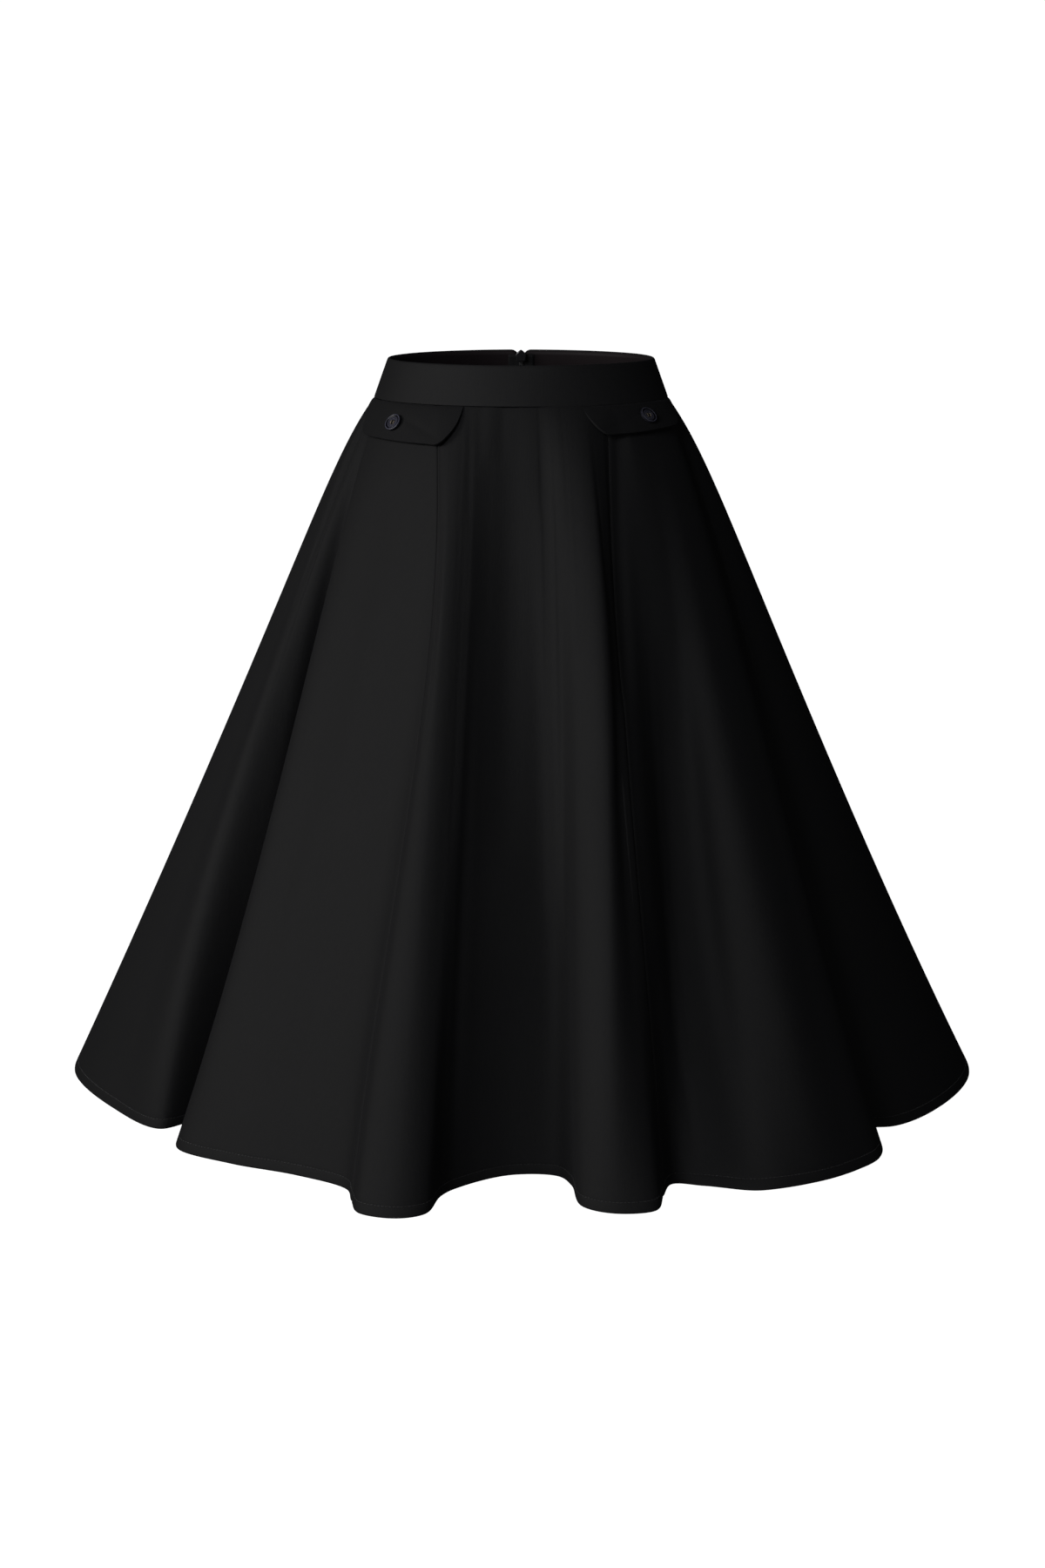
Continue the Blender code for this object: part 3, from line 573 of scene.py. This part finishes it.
def thread_material(name, dark, light, roughness):
    """Twisted thread, its plies drawn a little coarser than real."""
    made, tree, shader, where = new_material(name)
    plies = add(tree, "ShaderNodeTexNoise", {}, {"Vector": where, "Scale": 1 / 0.0006})[0]
    gloss = {"Value": plies, "To Min": roughness - 0.1, "To Max": roughness + 0.1}
    plug(tree, shader, {
        "Base Color": add(tree, "ShaderNodeMix", COLOURS, {0: plies, 6: colour(dark), 7: colour(light)})[2],
        "Roughness": add(tree, "ShaderNodeMapRange", {}, gloss)[0],
        "Normal": add(tree, "ShaderNodeBump", {}, {"Height": plies, "Distance": 0.00006, "Strength": 0.6})[0],
        "Sheen Weight": 0.2,
    })
    return made


def lacquer_material(name, dark, rubbed):
    """Lacquered zinc: smooth, with a faint orange peel and a few paler rubbed spots."""
    made, tree, shader, where = new_material(name)
    peel = add(tree, "ShaderNodeTexNoise", {}, {"Vector": where, "Scale": 1 / 0.0007})[0]
    wear = add(tree, "ShaderNodeTexNoise", {}, {"Vector": where, "Scale": 1 / 0.0035, "Detail": 3.0})[0]
    plug(tree, shader, {
        "Base Color": add(tree, "ShaderNodeMix", COLOURS, {0: wear, 6: colour(dark), 7: colour(rubbed)})[2],
        "Roughness": add(tree, "ShaderNodeMapRange", {}, {"Value": wear, "To Min": 0.24, "To Max": 0.42})[0],
        "Normal": add(tree, "ShaderNodeBump", {}, {"Height": peel, "Distance": 0.00003, "Strength": 0.5})[0],
        "Metallic": 0.35,
        "Coat Weight": 0.5,
        "Coat Roughness": 0.12,
    })
    return made


# from the middle to the rim: share of the half diameter, and the colour there: the resin's own dark
# blue-grey, with painted highlights on the raised rings and rim and painted shade in the grooves and the
# holes
Shade = namedtuple("Shade", "share code")
BUTTON_TONES_AND_PAINTED_LIGHT = (
    Shade(0.00, "#08080c"), Shade(0.30, "#15151c"), Shade(0.36, "#44444f"), Shade(0.48, "#50505e"),
    Shade(0.54, "#1a1a24"), Shade(0.60, "#4c4c5a"), Shade(0.70, "#383844"), Shade(0.76, "#06060c"),
    Shade(0.87, "#08080f"), Shade(0.92, "#6a6a7c"), Shade(1.00, "#26262f"),
)

# Fine plain weave of 0.5 mm yarns, matt, with a short soft nap
SUITING = cloth_material("black woven suiting", "#161617", "#202021", 0.70, 0.0005, 0.00012, 0.03)
# The same cloth over an interlining: flatter, its yarns a little tighter
BAND_SUITING = cloth_material(
    "black suiting over interlining", "#171718", "#212122", 0.68, 0.0005, 0.00009, 0.03,
)
# Plum-black facing cloth inside the waistband, smoother and warmer than the outside
FACING = cloth_material("plum black facing cloth", "#171113", "#21191c", 0.62, 0.0004, 0.00006, 0.05)
# Woven zip tape with coarse 0.7 mm ribs
TAPE = cloth_material("black zip tape", "#121213", "#1d1d1f", 0.75, 0.0007, 0.00015, 0.05)
# Sewing thread in the cloth's colour, a shade glossier than it
BLACK_THREAD = thread_material("black sewing thread", "#131314", "#242426", 0.6)
# The buttons' thread: pale brown, the one light spot on the black cloth
BROWN_THREAD = thread_material("pale brown button thread", "#5d5447", "#978b78", 0.6)
# Nylon coil of the zip: smooth, with a soft gloss
COIL = thread_material("black nylon coil", "#101012", "#1c1c20", 0.45)
# Die-cast zinc under black lacquer: dark, with small soft highlights
LACQUER = lacquer_material("black lacquered zinc", "#0e0e10", "#27272b")


# -------------------- skirt panels
# across a seam edge: metres in from the seam, and metres in from the outer surface, at growing depth;
# the stitched line, at 1.1 mm, lies a little past the seam, so that two panels close it together
SEAM_EDGE = (
    (0.0040, 0.00002), (0.0026, 0.00010), (0.0016, 0.00024), (0.0009, 0.00042), (0.0004, 0.00068),
    (-0.00005, 0.00110), (0.0005, 0.00160), (0.0015, 0.00185), (0.0050, 0.00190), (SEAM_ALLOWANCE, 0.00190),
)
# up a hem edge: metres up from the edge, and metres in from the outer surface
HEM_EDGE = (
    (0.0120, 0.00000), (0.0098, 0.00000), (0.0088, 0.00008), (0.0080, 0.00030), (0.0072, 0.00006),
    (0.0050, -0.00005), (0.0020, 0.00000), (0.0008, 0.00008), (0.0002, 0.00035), (0.0000, 0.00075),
    (0.0002, 0.00115), (0.0008, 0.00140), (0.0040, 0.00145), (HEM_TURN, 0.00145),
)
# down from the waistband seam: metres down, and metres in
TOP_EDGE = ((0.00004, 0.00024), (0.0002, 0.00008), (0.0006, 0.00002), (0.0028, 0.0))


def panel_rows(panel):
    """A panel's first and last row on the fold table, the last always past the first."""
    first, last = ROW_OF[panel.first], ROW_OF[panel.last]
    return (first, last) if last > first else (first, last + ROUND)


def make_panel(panel):
    """A panel of the skirt: turned seam allowances, a turned hem, and the top tucked to the seam."""
    first, last = panel_rows(panel)
    shares = (even_places(first, last, COLUMN_PITCH) - first) / (last - first)
    steps = round((SKIRT_LENGTH - LAST_ROW) / ROW_PITCH)
    middle = FIRST_ROW + (SKIRT_LENGTH - LAST_ROW - FIRST_ROW) * np.linspace(0, 1, steps) ** ROW_SPREAD
    tops = [metres for metres, _ in TOP_EDGE]
    hems = [SKIRT_LENGTH - metres for metres, _ in HEM_EDGE]
    down_metres = np.concatenate([tops, middle, hems])
    top_in = [depth for _, depth in TOP_EDGE]
    hem_in = [depth for _, depth in HEM_EDGE]
    row_in = np.concatenate([top_in, np.zeros(steps), hem_in])
    down = down_metres / SKIRT_LENGTH
    inset = SEAM_EDGE[0][0]
    start = first + inset / skirt_frame(first, down)[3]
    end = last - inset / skirt_frame(last, down)[3]
    edges = len(SEAM_EDGE) - 1
    columns = len(shares) + 2 * edges
    place = np.empty((columns, len(down)))
    aside = np.zeros(place.shape)
    seam_in = np.zeros(place.shape)
    for column, share in enumerate(shares):
        place[column + edges] = start + share * (end - start)
    for step, (distance, depth) in enumerate(SEAM_EDGE[1:]):
        for column, at, sign in ((edges - 1 - step, first, 1), (columns - edges + step, last, -1)):
            place[column] = at
            aside[column] = sign * distance
            seam_in[column] = depth
    points = cloth_surface(place, np.broadcast_to(down, place.shape), -seam_in - row_in, aside)
    # the flat cut: a sector whose top and hem are arcs
    apex = panel.top * panel.length / (panel.hem - panel.top)
    turn = (np.linspace(-0.5, 0.5, columns) * (panel.hem - panel.top) / panel.length)[:, None]
    radius = apex + down_metres[None, :] * panel.length / SKIRT_LENGTH
    uv = np.stack([radius * np.sin(turn), radius * np.cos(turn) - apex], -1)
    piece = cloth_sheet("cloth_" + panel.name, points, uv, SHEET, SUITING)
    apply_modifiers(piece)
    piece.data.shade_smooth()
    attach(piece, BODY)
    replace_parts(piece, panel.name)


# -------------------- waistband
# down the band's outer sheet: metres below its top edge, and metres in; the fold at the top comes last
BAND_FOLD = ((0.0030, 0.0), (0.0014, 0.00004), (0.0007, 0.00020), (0.0002, 0.00050), (0.0, 0.00095),
             (0.0002, 0.00140), (0.0008, 0.00175), (0.0024, 0.00190))
# at the seam: metres above it, and metres in
BAND_FOOT = ((0.00004, 0.00024), (0.0002, 0.00008), (0.0006, 0.00002), (0.0024, 0.0))
# the facing: metres below the top edge, above the seam and in from the outer face; how much further in it
# sinks, and over what height
FACING_TOP = 0.0012
FACING_FOOT = 0.0004
FACING_IN = 0.0018
FACING_SINK = 0.0006
FACING_SLOPE = 0.006
# round a band's end: metres aside from it, and metres in
BAND_END = ((0.0004, 0.00170), (0.0000, 0.00110), (0.0001, 0.00055), (0.0005, 0.00018), (0.0014, 0.0))


# how sharply the waist curves at the centre back
BACK_RADIUS = WAIST_HALF_WIDTH**2 / WAIST_HALF_DEPTH


def band_columns():
    """Turns round the band, distances aside and depths of its columns, end to end at the centre back."""
    start = ZIP_PARTING / BACK_RADIUS
    inner = BAND_END[-1][0] + BAND_CORNER * np.array([0.0, 0.04, 0.10, 0.18, 0.3, 0.45, 0.6, 0.8])
    middle = np.linspace(start + (BAND_END[-1][0] + BAND_CORNER) / BACK_RADIUS, math.pi, 76)
    turns = np.concatenate([np.full(len(BAND_END) - 1, start), start + inner / BACK_RADIUS, middle])
    aside = np.concatenate([[a for a, _ in BAND_END[:-1]], np.zeros(len(inner) + len(middle))])
    depth = np.concatenate([[d for _, d in BAND_END[:-1]], np.zeros(len(inner) + len(middle))])
    turns = np.concatenate([turns, 2 * math.pi - turns[-2::-1]])
    return turns, np.concatenate([aside, -aside[-2::-1]]), np.concatenate([depth, depth[-2::-1]])


def corner_drop(turn):
    """How far the band's rounded corners lower its top edge."""
    to_end = np.minimum(turn, 2 * math.pi - turn) * BACK_RADIUS - ZIP_PARTING
    inside = np.clip(BAND_CORNER - to_end, 0.0, BAND_CORNER)
    return BAND_CORNER - np.sqrt(np.maximum(BAND_CORNER**2 - inside**2, 0.0))


def band_piece(name, turn, aside, drop, below, depth, paint):
    """A sheet of the waistband; below gives metres under its own top edge."""
    height = drop[:, None] + below * ((-SEAM_Z - drop[:, None]) / -SEAM_Z)
    waves = BAND_WAVE * np.sin(7 * turn[:, None] + 30 * height) * np.sin(3 * turn[:, None] + 1.0)
    points = waistband(turn[:, None] - math.pi, height / -SEAM_Z, waves - depth, aside[:, None])
    length = np.broadcast_to(((turn - math.pi) * BAND_RADIUS)[:, None], height.shape)
    piece = cloth_sheet(name, points, np.stack([length, height], -1), SHEET, paint)
    apply_modifiers(piece)
    piece.data.shade_smooth()
    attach(piece, BODY)
    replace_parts(piece, "waistband")


def make_waistband():
    """The outer cloth, folded over the band's top edge, and the facing behind it."""
    turn, aside, end_in = band_columns()
    drop = corner_drop(turn)
    rows = np.linspace(BAND_FOOT[-1][0], -SEAM_Z - BAND_FOLD[0][0], 12)[1:-1]
    foot = [(-SEAM_Z - above, depth) for above, depth in BAND_FOOT]
    outer = foot + [(-SEAM_Z - above, 0.0) for above in rows] + list(BAND_FOLD)
    below = np.array([metres for metres, _ in outer])[::-1][None, :]
    depth = np.array([metres for _, metres in outer])[::-1][None, :]
    # the rows run from the inside of the fold at the top down to the seam
    depth = np.maximum(depth, end_in[:, None])
    band_piece("waistband_outer", turn, aside, drop, below, depth, BAND_SUITING)
    # the facing starts under the fold, sinks behind it, and leaves the rounded-over ends free
    turn, aside, drop = turn[2:-2], aside[2:-2], drop[2:-2]
    below = np.linspace(FACING_TOP, -SEAM_Z - FACING_FOOT, 10)[None, :]
    depth = FACING_IN + FACING_SINK * np.clip(below / FACING_SLOPE, 0, 1)
    depth = np.broadcast_to(depth, (len(turn), below.shape[1]))
    band_piece("waistband_facing", turn, aside, drop, below, depth, FACING)


# -------------------- flaps
FLAP_TOP = 0.0003
FLAP_TIP = 0.0022
FLAP_WALL = 0.0017
FLAP_EDGE = 0.00055
# over what depth below the seam a flap fills out
FLAP_TUCK = 0.0055
# at the seam: the flap's thickness, how deep its top edge is drawn in, and how soon it comes out again
SEAM_WALL = 0.0004
SEAM_SINK = 0.0010
SEAM_TURN = 0.0004
# a soft slanting dent in each flap: its place, width and length as shares of the flap, and its depth
DENT_ACROSS = 0.30
DENT_DOWN = 0.62
DENT_DEPTH = 0.0004
DENT_WIDTH = 0.045
DENT_LENGTH = 0.28


def flap_width(flap):
    return SEAM_HALF_WIDTH * math.radians(flap.outer_top - flap.inner_top)


def flap_place(flap, across, down):
    """Place on the fold table, share down the skirt and stand-off of a flap's inner face."""
    to_side = np.minimum(across, 1 - across) * flap_width(flap)
    corner = np.where(across < 0.5, FLAP_CORNER, FLAP_OUTER_CORNER)
    inside = np.clip(corner - to_side, 0.0, corner)
    rounding = corner - np.sqrt(np.maximum(corner**2 - inside**2, 0.0))
    drop = flap.drop + across**FLAP_SWEEP * (flap.outer_drop - flap.drop)
    reach_down = FLAP_TOP + down * (drop - rounding - FLAP_TOP)
    share = reach_down / flap.drop
    inner = flap.inner_top + share * (flap.inner_low - flap.inner_top)
    outer = flap.outer_top + share * (flap.outer_low - flap.outer_top)
    turn = np.radians(flap.side * (inner + across * (outer - inner)))
    stand_off = GAP + flap.lift * share**2 + flap.curl * across**3 * share
    return place_of_turn(turn), reach_down / SKIRT_LENGTH, stand_off


def flap_face(flap, across, down):
    """Points of a flap's outer face: pressed flat at the seam, its inner edge curling off the skirt."""
    place, share, stand_off = flap_place(flap, across, down)
    reach_down = share * SKIRT_LENGTH
    tucked = 1 - np.exp(-np.maximum(reach_down - FLAP_TOP, 0.0) / FLAP_TUCK)
    tip = FLAP_TIP * (1 - across) ** 5 * np.clip(reach_down / flap.drop, 0, 1)
    beside, below = across - DENT_ACROSS, down - DENT_DOWN
    fold = -DENT_DEPTH * np.exp(-((beside * 0.75 + below * 0.45) / DENT_WIDTH) ** 2)
    fold = fold * np.exp(-((beside * 0.45 - below * 0.75) / DENT_LENGTH) ** 2)
    stand_off = GAP + (stand_off - GAP + tip + fold) * tucked
    points, normal = skirt_frame(place, share)[:2]
    sink = SEAM_SINK * np.exp((FLAP_TOP - reach_down) / SEAM_TURN)
    lift = stand_off + SEAM_WALL + (CLOTH - SEAM_WALL) * tucked - sink
    return points + normal * lift[..., None]


def crowded(count, share):
    """Shares from 0 to 1, drawn towards both ends by a share of a cosine's spacing."""
    even = np.linspace(0, 1, count)
    return (1 - share) * even + share * (0.5 - 0.5 * np.cos(math.pi * even))


def make_flap(flap):
    """Outer cloth and lining pressed together as one sheet, with soft rounded edges."""
    down = np.concatenate([[0.0, 0.005, 0.010], crowded(34, 0.5)[1:]])
    across, down = np.broadcast_arrays(crowded(64, 0.75)[:, None], down[None, :])
    points = flap_face(flap, across, down)
    wide = flap_width(flap)
    uv = np.stack([across * wide, down * flap.drop], -1)
    if flap.side < 0:
        points, uv = points[::-1], uv[::-1]
        down = down[::-1]
    # a fifth of the thickness is left at the seam
    taper = 0.20 + 0.80 * (1 - np.exp(-down * flap.drop / FLAP_TUCK))
    piece = cloth_sheet("flap_cloth_" + flap.name, points, uv, FLAP_WALL, SUITING, taper)
    round_edges(piece, FLAP_EDGE, 3, 50)
    apply_modifiers(piece)
    piece.data.shade_smooth()
    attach(piece, BODY)
    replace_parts(piece, "pocket_flap_" + flap.name)


# -------------------- buttons
BUTTON_BACK = 0.0012
BUTTON_SIDE = 0.0012
TURNING_PITCH = 0.00042
BAR_TOP = 0.0019
STRAND = 0.00026
STRAND_ASIDE = 0.00027
# from the rim to the middle: width of each ring of the face, and its rise
BUTTON_RINGS = (
    (0.00035, 0.00030), (0.00045, 0.00022), (0.00040, -0.00010), (0.00035, -0.00034), (0.00055, -0.00030),
    (0.00045, -0.00008), (0.00025, 0.00028), (0.00050, 0.00008), (0.00050, -0.00006), (0.00025, -0.00030),
    (0.00050, -0.00004), (0.00060, 0.00004),
)


def button_seat(flap):
    """A button's centre on the flap's outer face, and the face's outward direction."""
    middle = (flap.button_turn - flap.inner_top) / (flap.outer_top - flap.inner_top)
    low = flap.button_down / flap.drop
    spots = np.array([[middle, low], [middle + 0.03, low], [middle, low + 0.08]])
    points = flap_face(flap, spots[:, 0], spots[:, 1])
    out = Vector(np.cross(points[1] - points[0], points[2] - points[0])).normalized()
    if out.y > 0:
        out.negate()
    return Vector(points[0]), out


def turn_button(name):
    """A button turned as one disc: a sloping back, an upright side, and the rings of the face."""
    half = BUTTON_DIAMETER / 2
    deselect()
    bpy.ops.mesh.primitive_cone_add(
        vertices=56, radius1=half * 0.86, radius2=half, depth=BUTTON_BACK, location=(0, 0, BUTTON_BACK / 2)
    )
    button = name_it(name)
    settle(button)
    bpy.ops.object.mode_set(mode="EDIT")
    bpy.ops.mesh.select_all(action="DESELECT")
    shape = bmesh.from_edit_mesh(button.data)
    for face in shape.faces:
        face.select = face.normal.z > 0.9
    bmesh.update_edit_mesh(button.data)
    bpy.ops.mesh.extrude_region_move(TRANSFORM_OT_translate={"value": (0, 0, BUTTON_SIDE)})
    for width, rise in BUTTON_RINGS:
        bpy.ops.mesh.inset(thickness=width, depth=rise)
    bpy.ops.object.mode_set(mode="OBJECT")
    return button


def drill_holes(button):
    """Four round holes through a button that lies at the origin."""
    drills = []
    for turn in range(4):
        angle = math.radians(45.0 + 90.0 * turn)
        spot = Vector((math.cos(angle), math.sin(angle), 0.0)) * (BUTTON_HOLE_PITCH / math.sqrt(2))
        deselect()
        bpy.ops.mesh.primitive_cylinder_add(vertices=16, radius=BUTTON_HOLE / 2, depth=0.02, location=spot)
        drills.append(name_it("drill"))
        settle(drills[-1])
    for drill in drills:
        cut = button.modifiers.new("hole", "BOOLEAN")
        cut.operation = "DIFFERENCE"
        cut.object = drill
    apply_modifiers(button)
    for drill in drills:
        bpy.data.objects.remove(drill)


def make_button(flap):
    """A button on its flap, and the thread that holds it."""
    centre, out = button_seat(flap)
    lie = Matrix.Translation(centre + out * GAP) @ out.to_track_quat("Z", "Y").to_matrix().to_4x4()
    button = turn_button("turned_button_" + flap.name)
    drill_holes(button)
    button.data.transform(lie)
    pick(button)
    bpy.ops.object.shade_smooth_by_angle(angle=math.radians(38))
    face = centre + out * (BUTTON_BACK + BUTTON_SIDE)
    button.data.materials.append(button_material("dark turned resin " + flap.name, face))
    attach(button, BODY)
    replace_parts(button, "button_" + flap.name)
    make_button_thread("button_thread_" + flap.name, lie)


def make_button_thread(name, lie):
    """Two bars of doubled thread over the holes, cut off under the button's face."""
    bars = []
    for side in (-1, 1):
        for strand in (-1, 1):
            deselect()
            spot = (side * BUTTON_HOLE_PITCH / 2 + strand * STRAND_ASIDE, 0, BAR_TOP)
            bpy.ops.mesh.primitive_torus_add(
                major_segments=20, minor_segments=8, major_radius=BUTTON_HOLE_PITCH / 2, minor_radius=STRAND,
                location=spot, rotation=(0, math.radians(90), 0),
            )
            bar = name_it("bar")
            bar.scale = (0.5, 1.0, 1.0)
            settle(bar)
            bars.append(bar)
    pick(*bars)
    bpy.ops.object.join()
    thread = name_it(name)
    settle(thread)
    bpy.ops.object.mode_set(mode="EDIT")
    bpy.ops.mesh.select_all(action="SELECT")
    bpy.ops.mesh.bisect(plane_co=(0, 0, BUTTON_BACK), plane_no=(0, 0, -1), use_fill=True, clear_outer=True)
    bpy.ops.object.mode_set(mode="OBJECT")
    thread.data.transform(lie)
    thread.data.shade_smooth()
    thread.data.materials.append(BROWN_THREAD)
    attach(thread, BODY)


# -------------------- zip
TAPE_WALL = 0.0006
SLIDER_FOOT = 0.0110
COIL_PITCH = 0.0012
COIL_RADIUS = 0.00095
COIL_WIRE = 0.00030
COIL_ASIDE = 0.00085
COIL_IN = 0.0010
COIL_END = 0.006
STOP_END = 0.005
STOP_IN = 0.0018
STOP_SIZE = (0.0052, 0.0022, 0.0034)
STOP_EDGE = 0.0005


def back_line(height):
    """How far behind the axis the outer face is at the centre back, at a height."""
    band = np.interp(-height, [0.0, -SEAM_Z], [WAIST_HALF_DEPTH, SEAM_HALF_DEPTH])
    down = np.clip((height - SEAM_Z) / (HEM_Z - SEAM_Z), 0.0, 1.0)
    panel = skirt_surface(np.full(down.shape, ROW_OF["centre back"]), down)[..., 1]
    return np.where(height > SEAM_Z, band, panel)


def make_tape(side, name):
    """A zip tape along one edge of the centre-back opening."""
    in_band = np.linspace(-TAPE_TOP - 0.0002, SEAM_Z, 12)
    in_skirt = np.linspace(SEAM_Z, -TAPE_LENGTH, 30)[1:]
    heights = np.concatenate([in_band, in_skirt])
    x = side * (ZIP_PARTING + np.linspace(0, TAPE_WIDTH, 8))
    curve = x**2 / (2 * BACK_RADIUS)
    back = back_line(heights)[None, :] - curve[:, None] - BAND_WALL - 3 * GAP
    across, height = np.broadcast_arrays(x[:, None], heights[None, :])
    points = np.stack([across, back, height], -1)
    uv = np.stack([across, height], -1)
    if side > 0:
        points, uv = points[::-1], uv[::-1]
    piece = cloth_sheet(name, points, uv, TAPE_WALL, TAPE)
    apply_modifiers(piece)
    piece.data.shade_smooth()
    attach(piece, BODY)
    return piece


def make_coil(side, name):
    """One row of the zip's coil: a link bent once and repeated down the tape."""
    deselect()
    bpy.ops.mesh.primitive_torus_add(
        major_segments=10, minor_segments=5, major_radius=COIL_RADIUS, minor_radius=COIL_WIRE,
        rotation=(0, math.radians(90), 0),
    )
    coil = name_it(name)
    coil.scale = (1.0, 1.15, 0.75)
    settle(coil)
    heights = np.linspace(-SLIDER_FOOT - 0.001, -TAPE_LENGTH + COIL_END, 60)
    x = np.full(len(heights), side * COIL_ASIDE)
    inside = back_line(heights) - BAND_WALL - 3 * GAP - TAPE_WALL - COIL_IN
    repeat_along(coil, line_of(name + "_line", np.stack([x, inside, heights], -1)), COIL_PITCH)
    coil.data.materials.append(COIL)
    coil.data.shade_smooth()
    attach(coil, BODY)


def make_stop():
    """The metal clip that closes the zip's lower end."""
    height = -TAPE_LENGTH + STOP_END
    depth = float(back_line(np.array([height]))[0]) - BAND_WALL - 3 * GAP - STOP_IN
    deselect()
    bpy.ops.mesh.primitive_cube_add(size=1, location=(0, depth, height), scale=STOP_SIZE)
    stop = name_it("zip_bottom_stop")
    settle(stop)
    round_edges(stop, STOP_EDGE, 3, 30)
    apply_modifiers(stop)
    stop.data.shade_smooth()
    stop.data.materials.append(LACQUER)
    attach(stop, BODY)


def make_zip():
    """Two tapes, two rows of coil, the stop, and lacquer on the slider and its pull tab."""
    sides = ((1, "left"), (-1, "right"))
    for side, name in sides:
        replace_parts(make_tape(side, "woven_tape_" + name), "zip_tape_" + name)
    for side, name in sides:
        make_coil(side, "zip_coil_" + name)
    make_stop()
    for name in ("zip_slider", "zip_pull_tab"):
        for slot in NODES[name].material_slots:
            slot.material = LACQUER


# -------------------- sewing
def make_sewing():
    """The hem's stitching, sunk in the groove at the top of the hem's turn."""
    for panel in PANELS:
        first, last = panel_rows(panel)
        start = first + STITCH_INSET / skirt_frame(first, 1.0)[3]
        end = last - STITCH_INSET / skirt_frame(last, 1.0)[3]
        place = even_places(start, end, 0.003)
        down = np.full(place.shape, 1 - HEM_EDGE[3][0] / SKIRT_LENGTH)
        stitch_row("hem_stitches_" + panel.name, cloth_surface(place, down, -STITCH_SINK))


for panel in PANELS:
    make_panel(panel)
make_waistband()
for flap in FLAPS:
    make_flap(flap)
    make_button(flap)
make_zip()
make_sewing()


# -------------------- studio
# azimuth in degrees from the front, the wearer's left positive; elevation in degrees; power in watts
Light = namedtuple("Light", "name azimuth elevation watts tint")
LIGHTS = (
    Light("key", -66.0, 20.0, 18.5, "#fffdfa"),
    Light("front", -27.0, 26.0, 15.0, "#fbfcff"),
    Light("rim", 35.0, 10.0, 2.8, "#fbfcff"),
)
LIGHT_AIM = (0, 0, -0.35)
LIGHT_DISTANCE = 2.6
LIGHT_SIZE = 0.9
FLOOR_RADIUS = 6.0
FLOOR_Z = -1.12
FLOOR_SWEEP = 2.5
CAMERA_PLACE = (0.0, -2.5, 0.2012)
CAMERA_DIP = 12.43
LENS = 62.2
# the photograph's long side and middle, and the point on it that the lens faces squarely, in its pixels
PHOTO_LENGTH = 1800
PHOTO_MIDDLE = (600, 900)
FACED_POINT = (598.3, 837.6)


def area_light(light):
    """A square soft box that faces the middle of the skirt."""
    lamp = bpy.data.lights.new(light.name, "AREA")
    lamp.shape = "RECTANGLE"
    lamp.size = LIGHT_SIZE
    lamp.size_y = LIGHT_SIZE
    lamp.energy = light.watts
    lamp.color = colour(light.tint)[:3]
    thing = bpy.data.objects.new(light.name, lamp)
    bpy.context.collection.objects.link(thing)
    a, e = math.radians(light.azimuth), math.radians(light.elevation)
    aim = Vector(LIGHT_AIM)
    heading = Vector((math.sin(a) * math.cos(e), -math.cos(a) * math.cos(e), math.sin(e)))
    thing.location = aim + heading * LIGHT_DISTANCE
    thing.rotation_euler = (aim - thing.location).to_track_quat("-Z", "Y").to_euler()


def make_floor():
    """One sheet of white paper, flat under the skirt and swept up all round."""
    deselect()
    bpy.ops.mesh.primitive_circle_add(
        vertices=96, radius=FLOOR_RADIUS, fill_type="NGON", location=(0, 0, FLOOR_Z)
    )
    floor = name_it("studio_floor")
    bpy.ops.object.mode_set(mode="EDIT")
    bpy.ops.mesh.select_all(action="DESELECT")
    bpy.ops.mesh.select_mode(type="EDGE")
    bpy.ops.mesh.select_non_manifold()
    bpy.ops.mesh.extrude_region_move(TRANSFORM_OT_translate={"value": (0, 0, FLOOR_RADIUS)})
    bpy.ops.object.mode_set(mode="OBJECT")
    round_edges(floor, FLOOR_SWEEP, 16, 60)
    apply_modifiers(floor)
    settle(floor)
    floor.data.shade_smooth()
    # Matt white paper that glows evenly, so that it reads as plain white behind the dark cloth
    made, tree, shader, where = new_material("matt white studio paper")
    grain = add(tree, "ShaderNodeTexNoise", {}, {"Vector": where, "Scale": 1 / 0.004})[0]
    paper = add(tree, "ShaderNodeMix", COLOURS, {0: grain, 6: colour("#f2f2f2"), 7: colour("#f8f8f8")})[2]
    glow = {"Emission Color": colour("#ffffff"), "Emission Strength": 1.0}
    plug(tree, shader, {"Base Color": paper, "Roughness": 0.9, **glow})
    floor.data.materials.append(made)
    floor.visible_diffuse = False
    floor.visible_glossy = False
    floor.visible_shadow = False


def make_studio():
    """The paper, the lights, and the camera that the photograph's perspective gives."""
    scene = bpy.context.scene
    scene.view_settings.view_transform = "Standard"
    world = bpy.data.worlds.new("studio air")
    world.use_nodes = True
    world.node_tree.nodes["Background"].inputs["Color"].default_value = colour("#ffffff")
    world.node_tree.nodes["Background"].inputs["Strength"].default_value = 0.01
    scene.world = world
    make_floor()
    for light in LIGHTS:
        area_light(light)
    camera = bpy.data.cameras.new("camera")
    camera.sensor_width = 36.0
    camera.lens = LENS
    camera.shift_x = (PHOTO_MIDDLE[0] - FACED_POINT[0]) / PHOTO_LENGTH
    camera.shift_y = -(PHOTO_MIDDLE[1] - FACED_POINT[1]) / PHOTO_LENGTH
    thing = bpy.data.objects.new("camera", camera)
    bpy.context.collection.objects.link(thing)
    thing.location = CAMERA_PLACE
    thing.rotation_euler = (math.radians(90 - CAMERA_DIP), 0.0, 0.0)
    scene.camera = thing


make_studio()
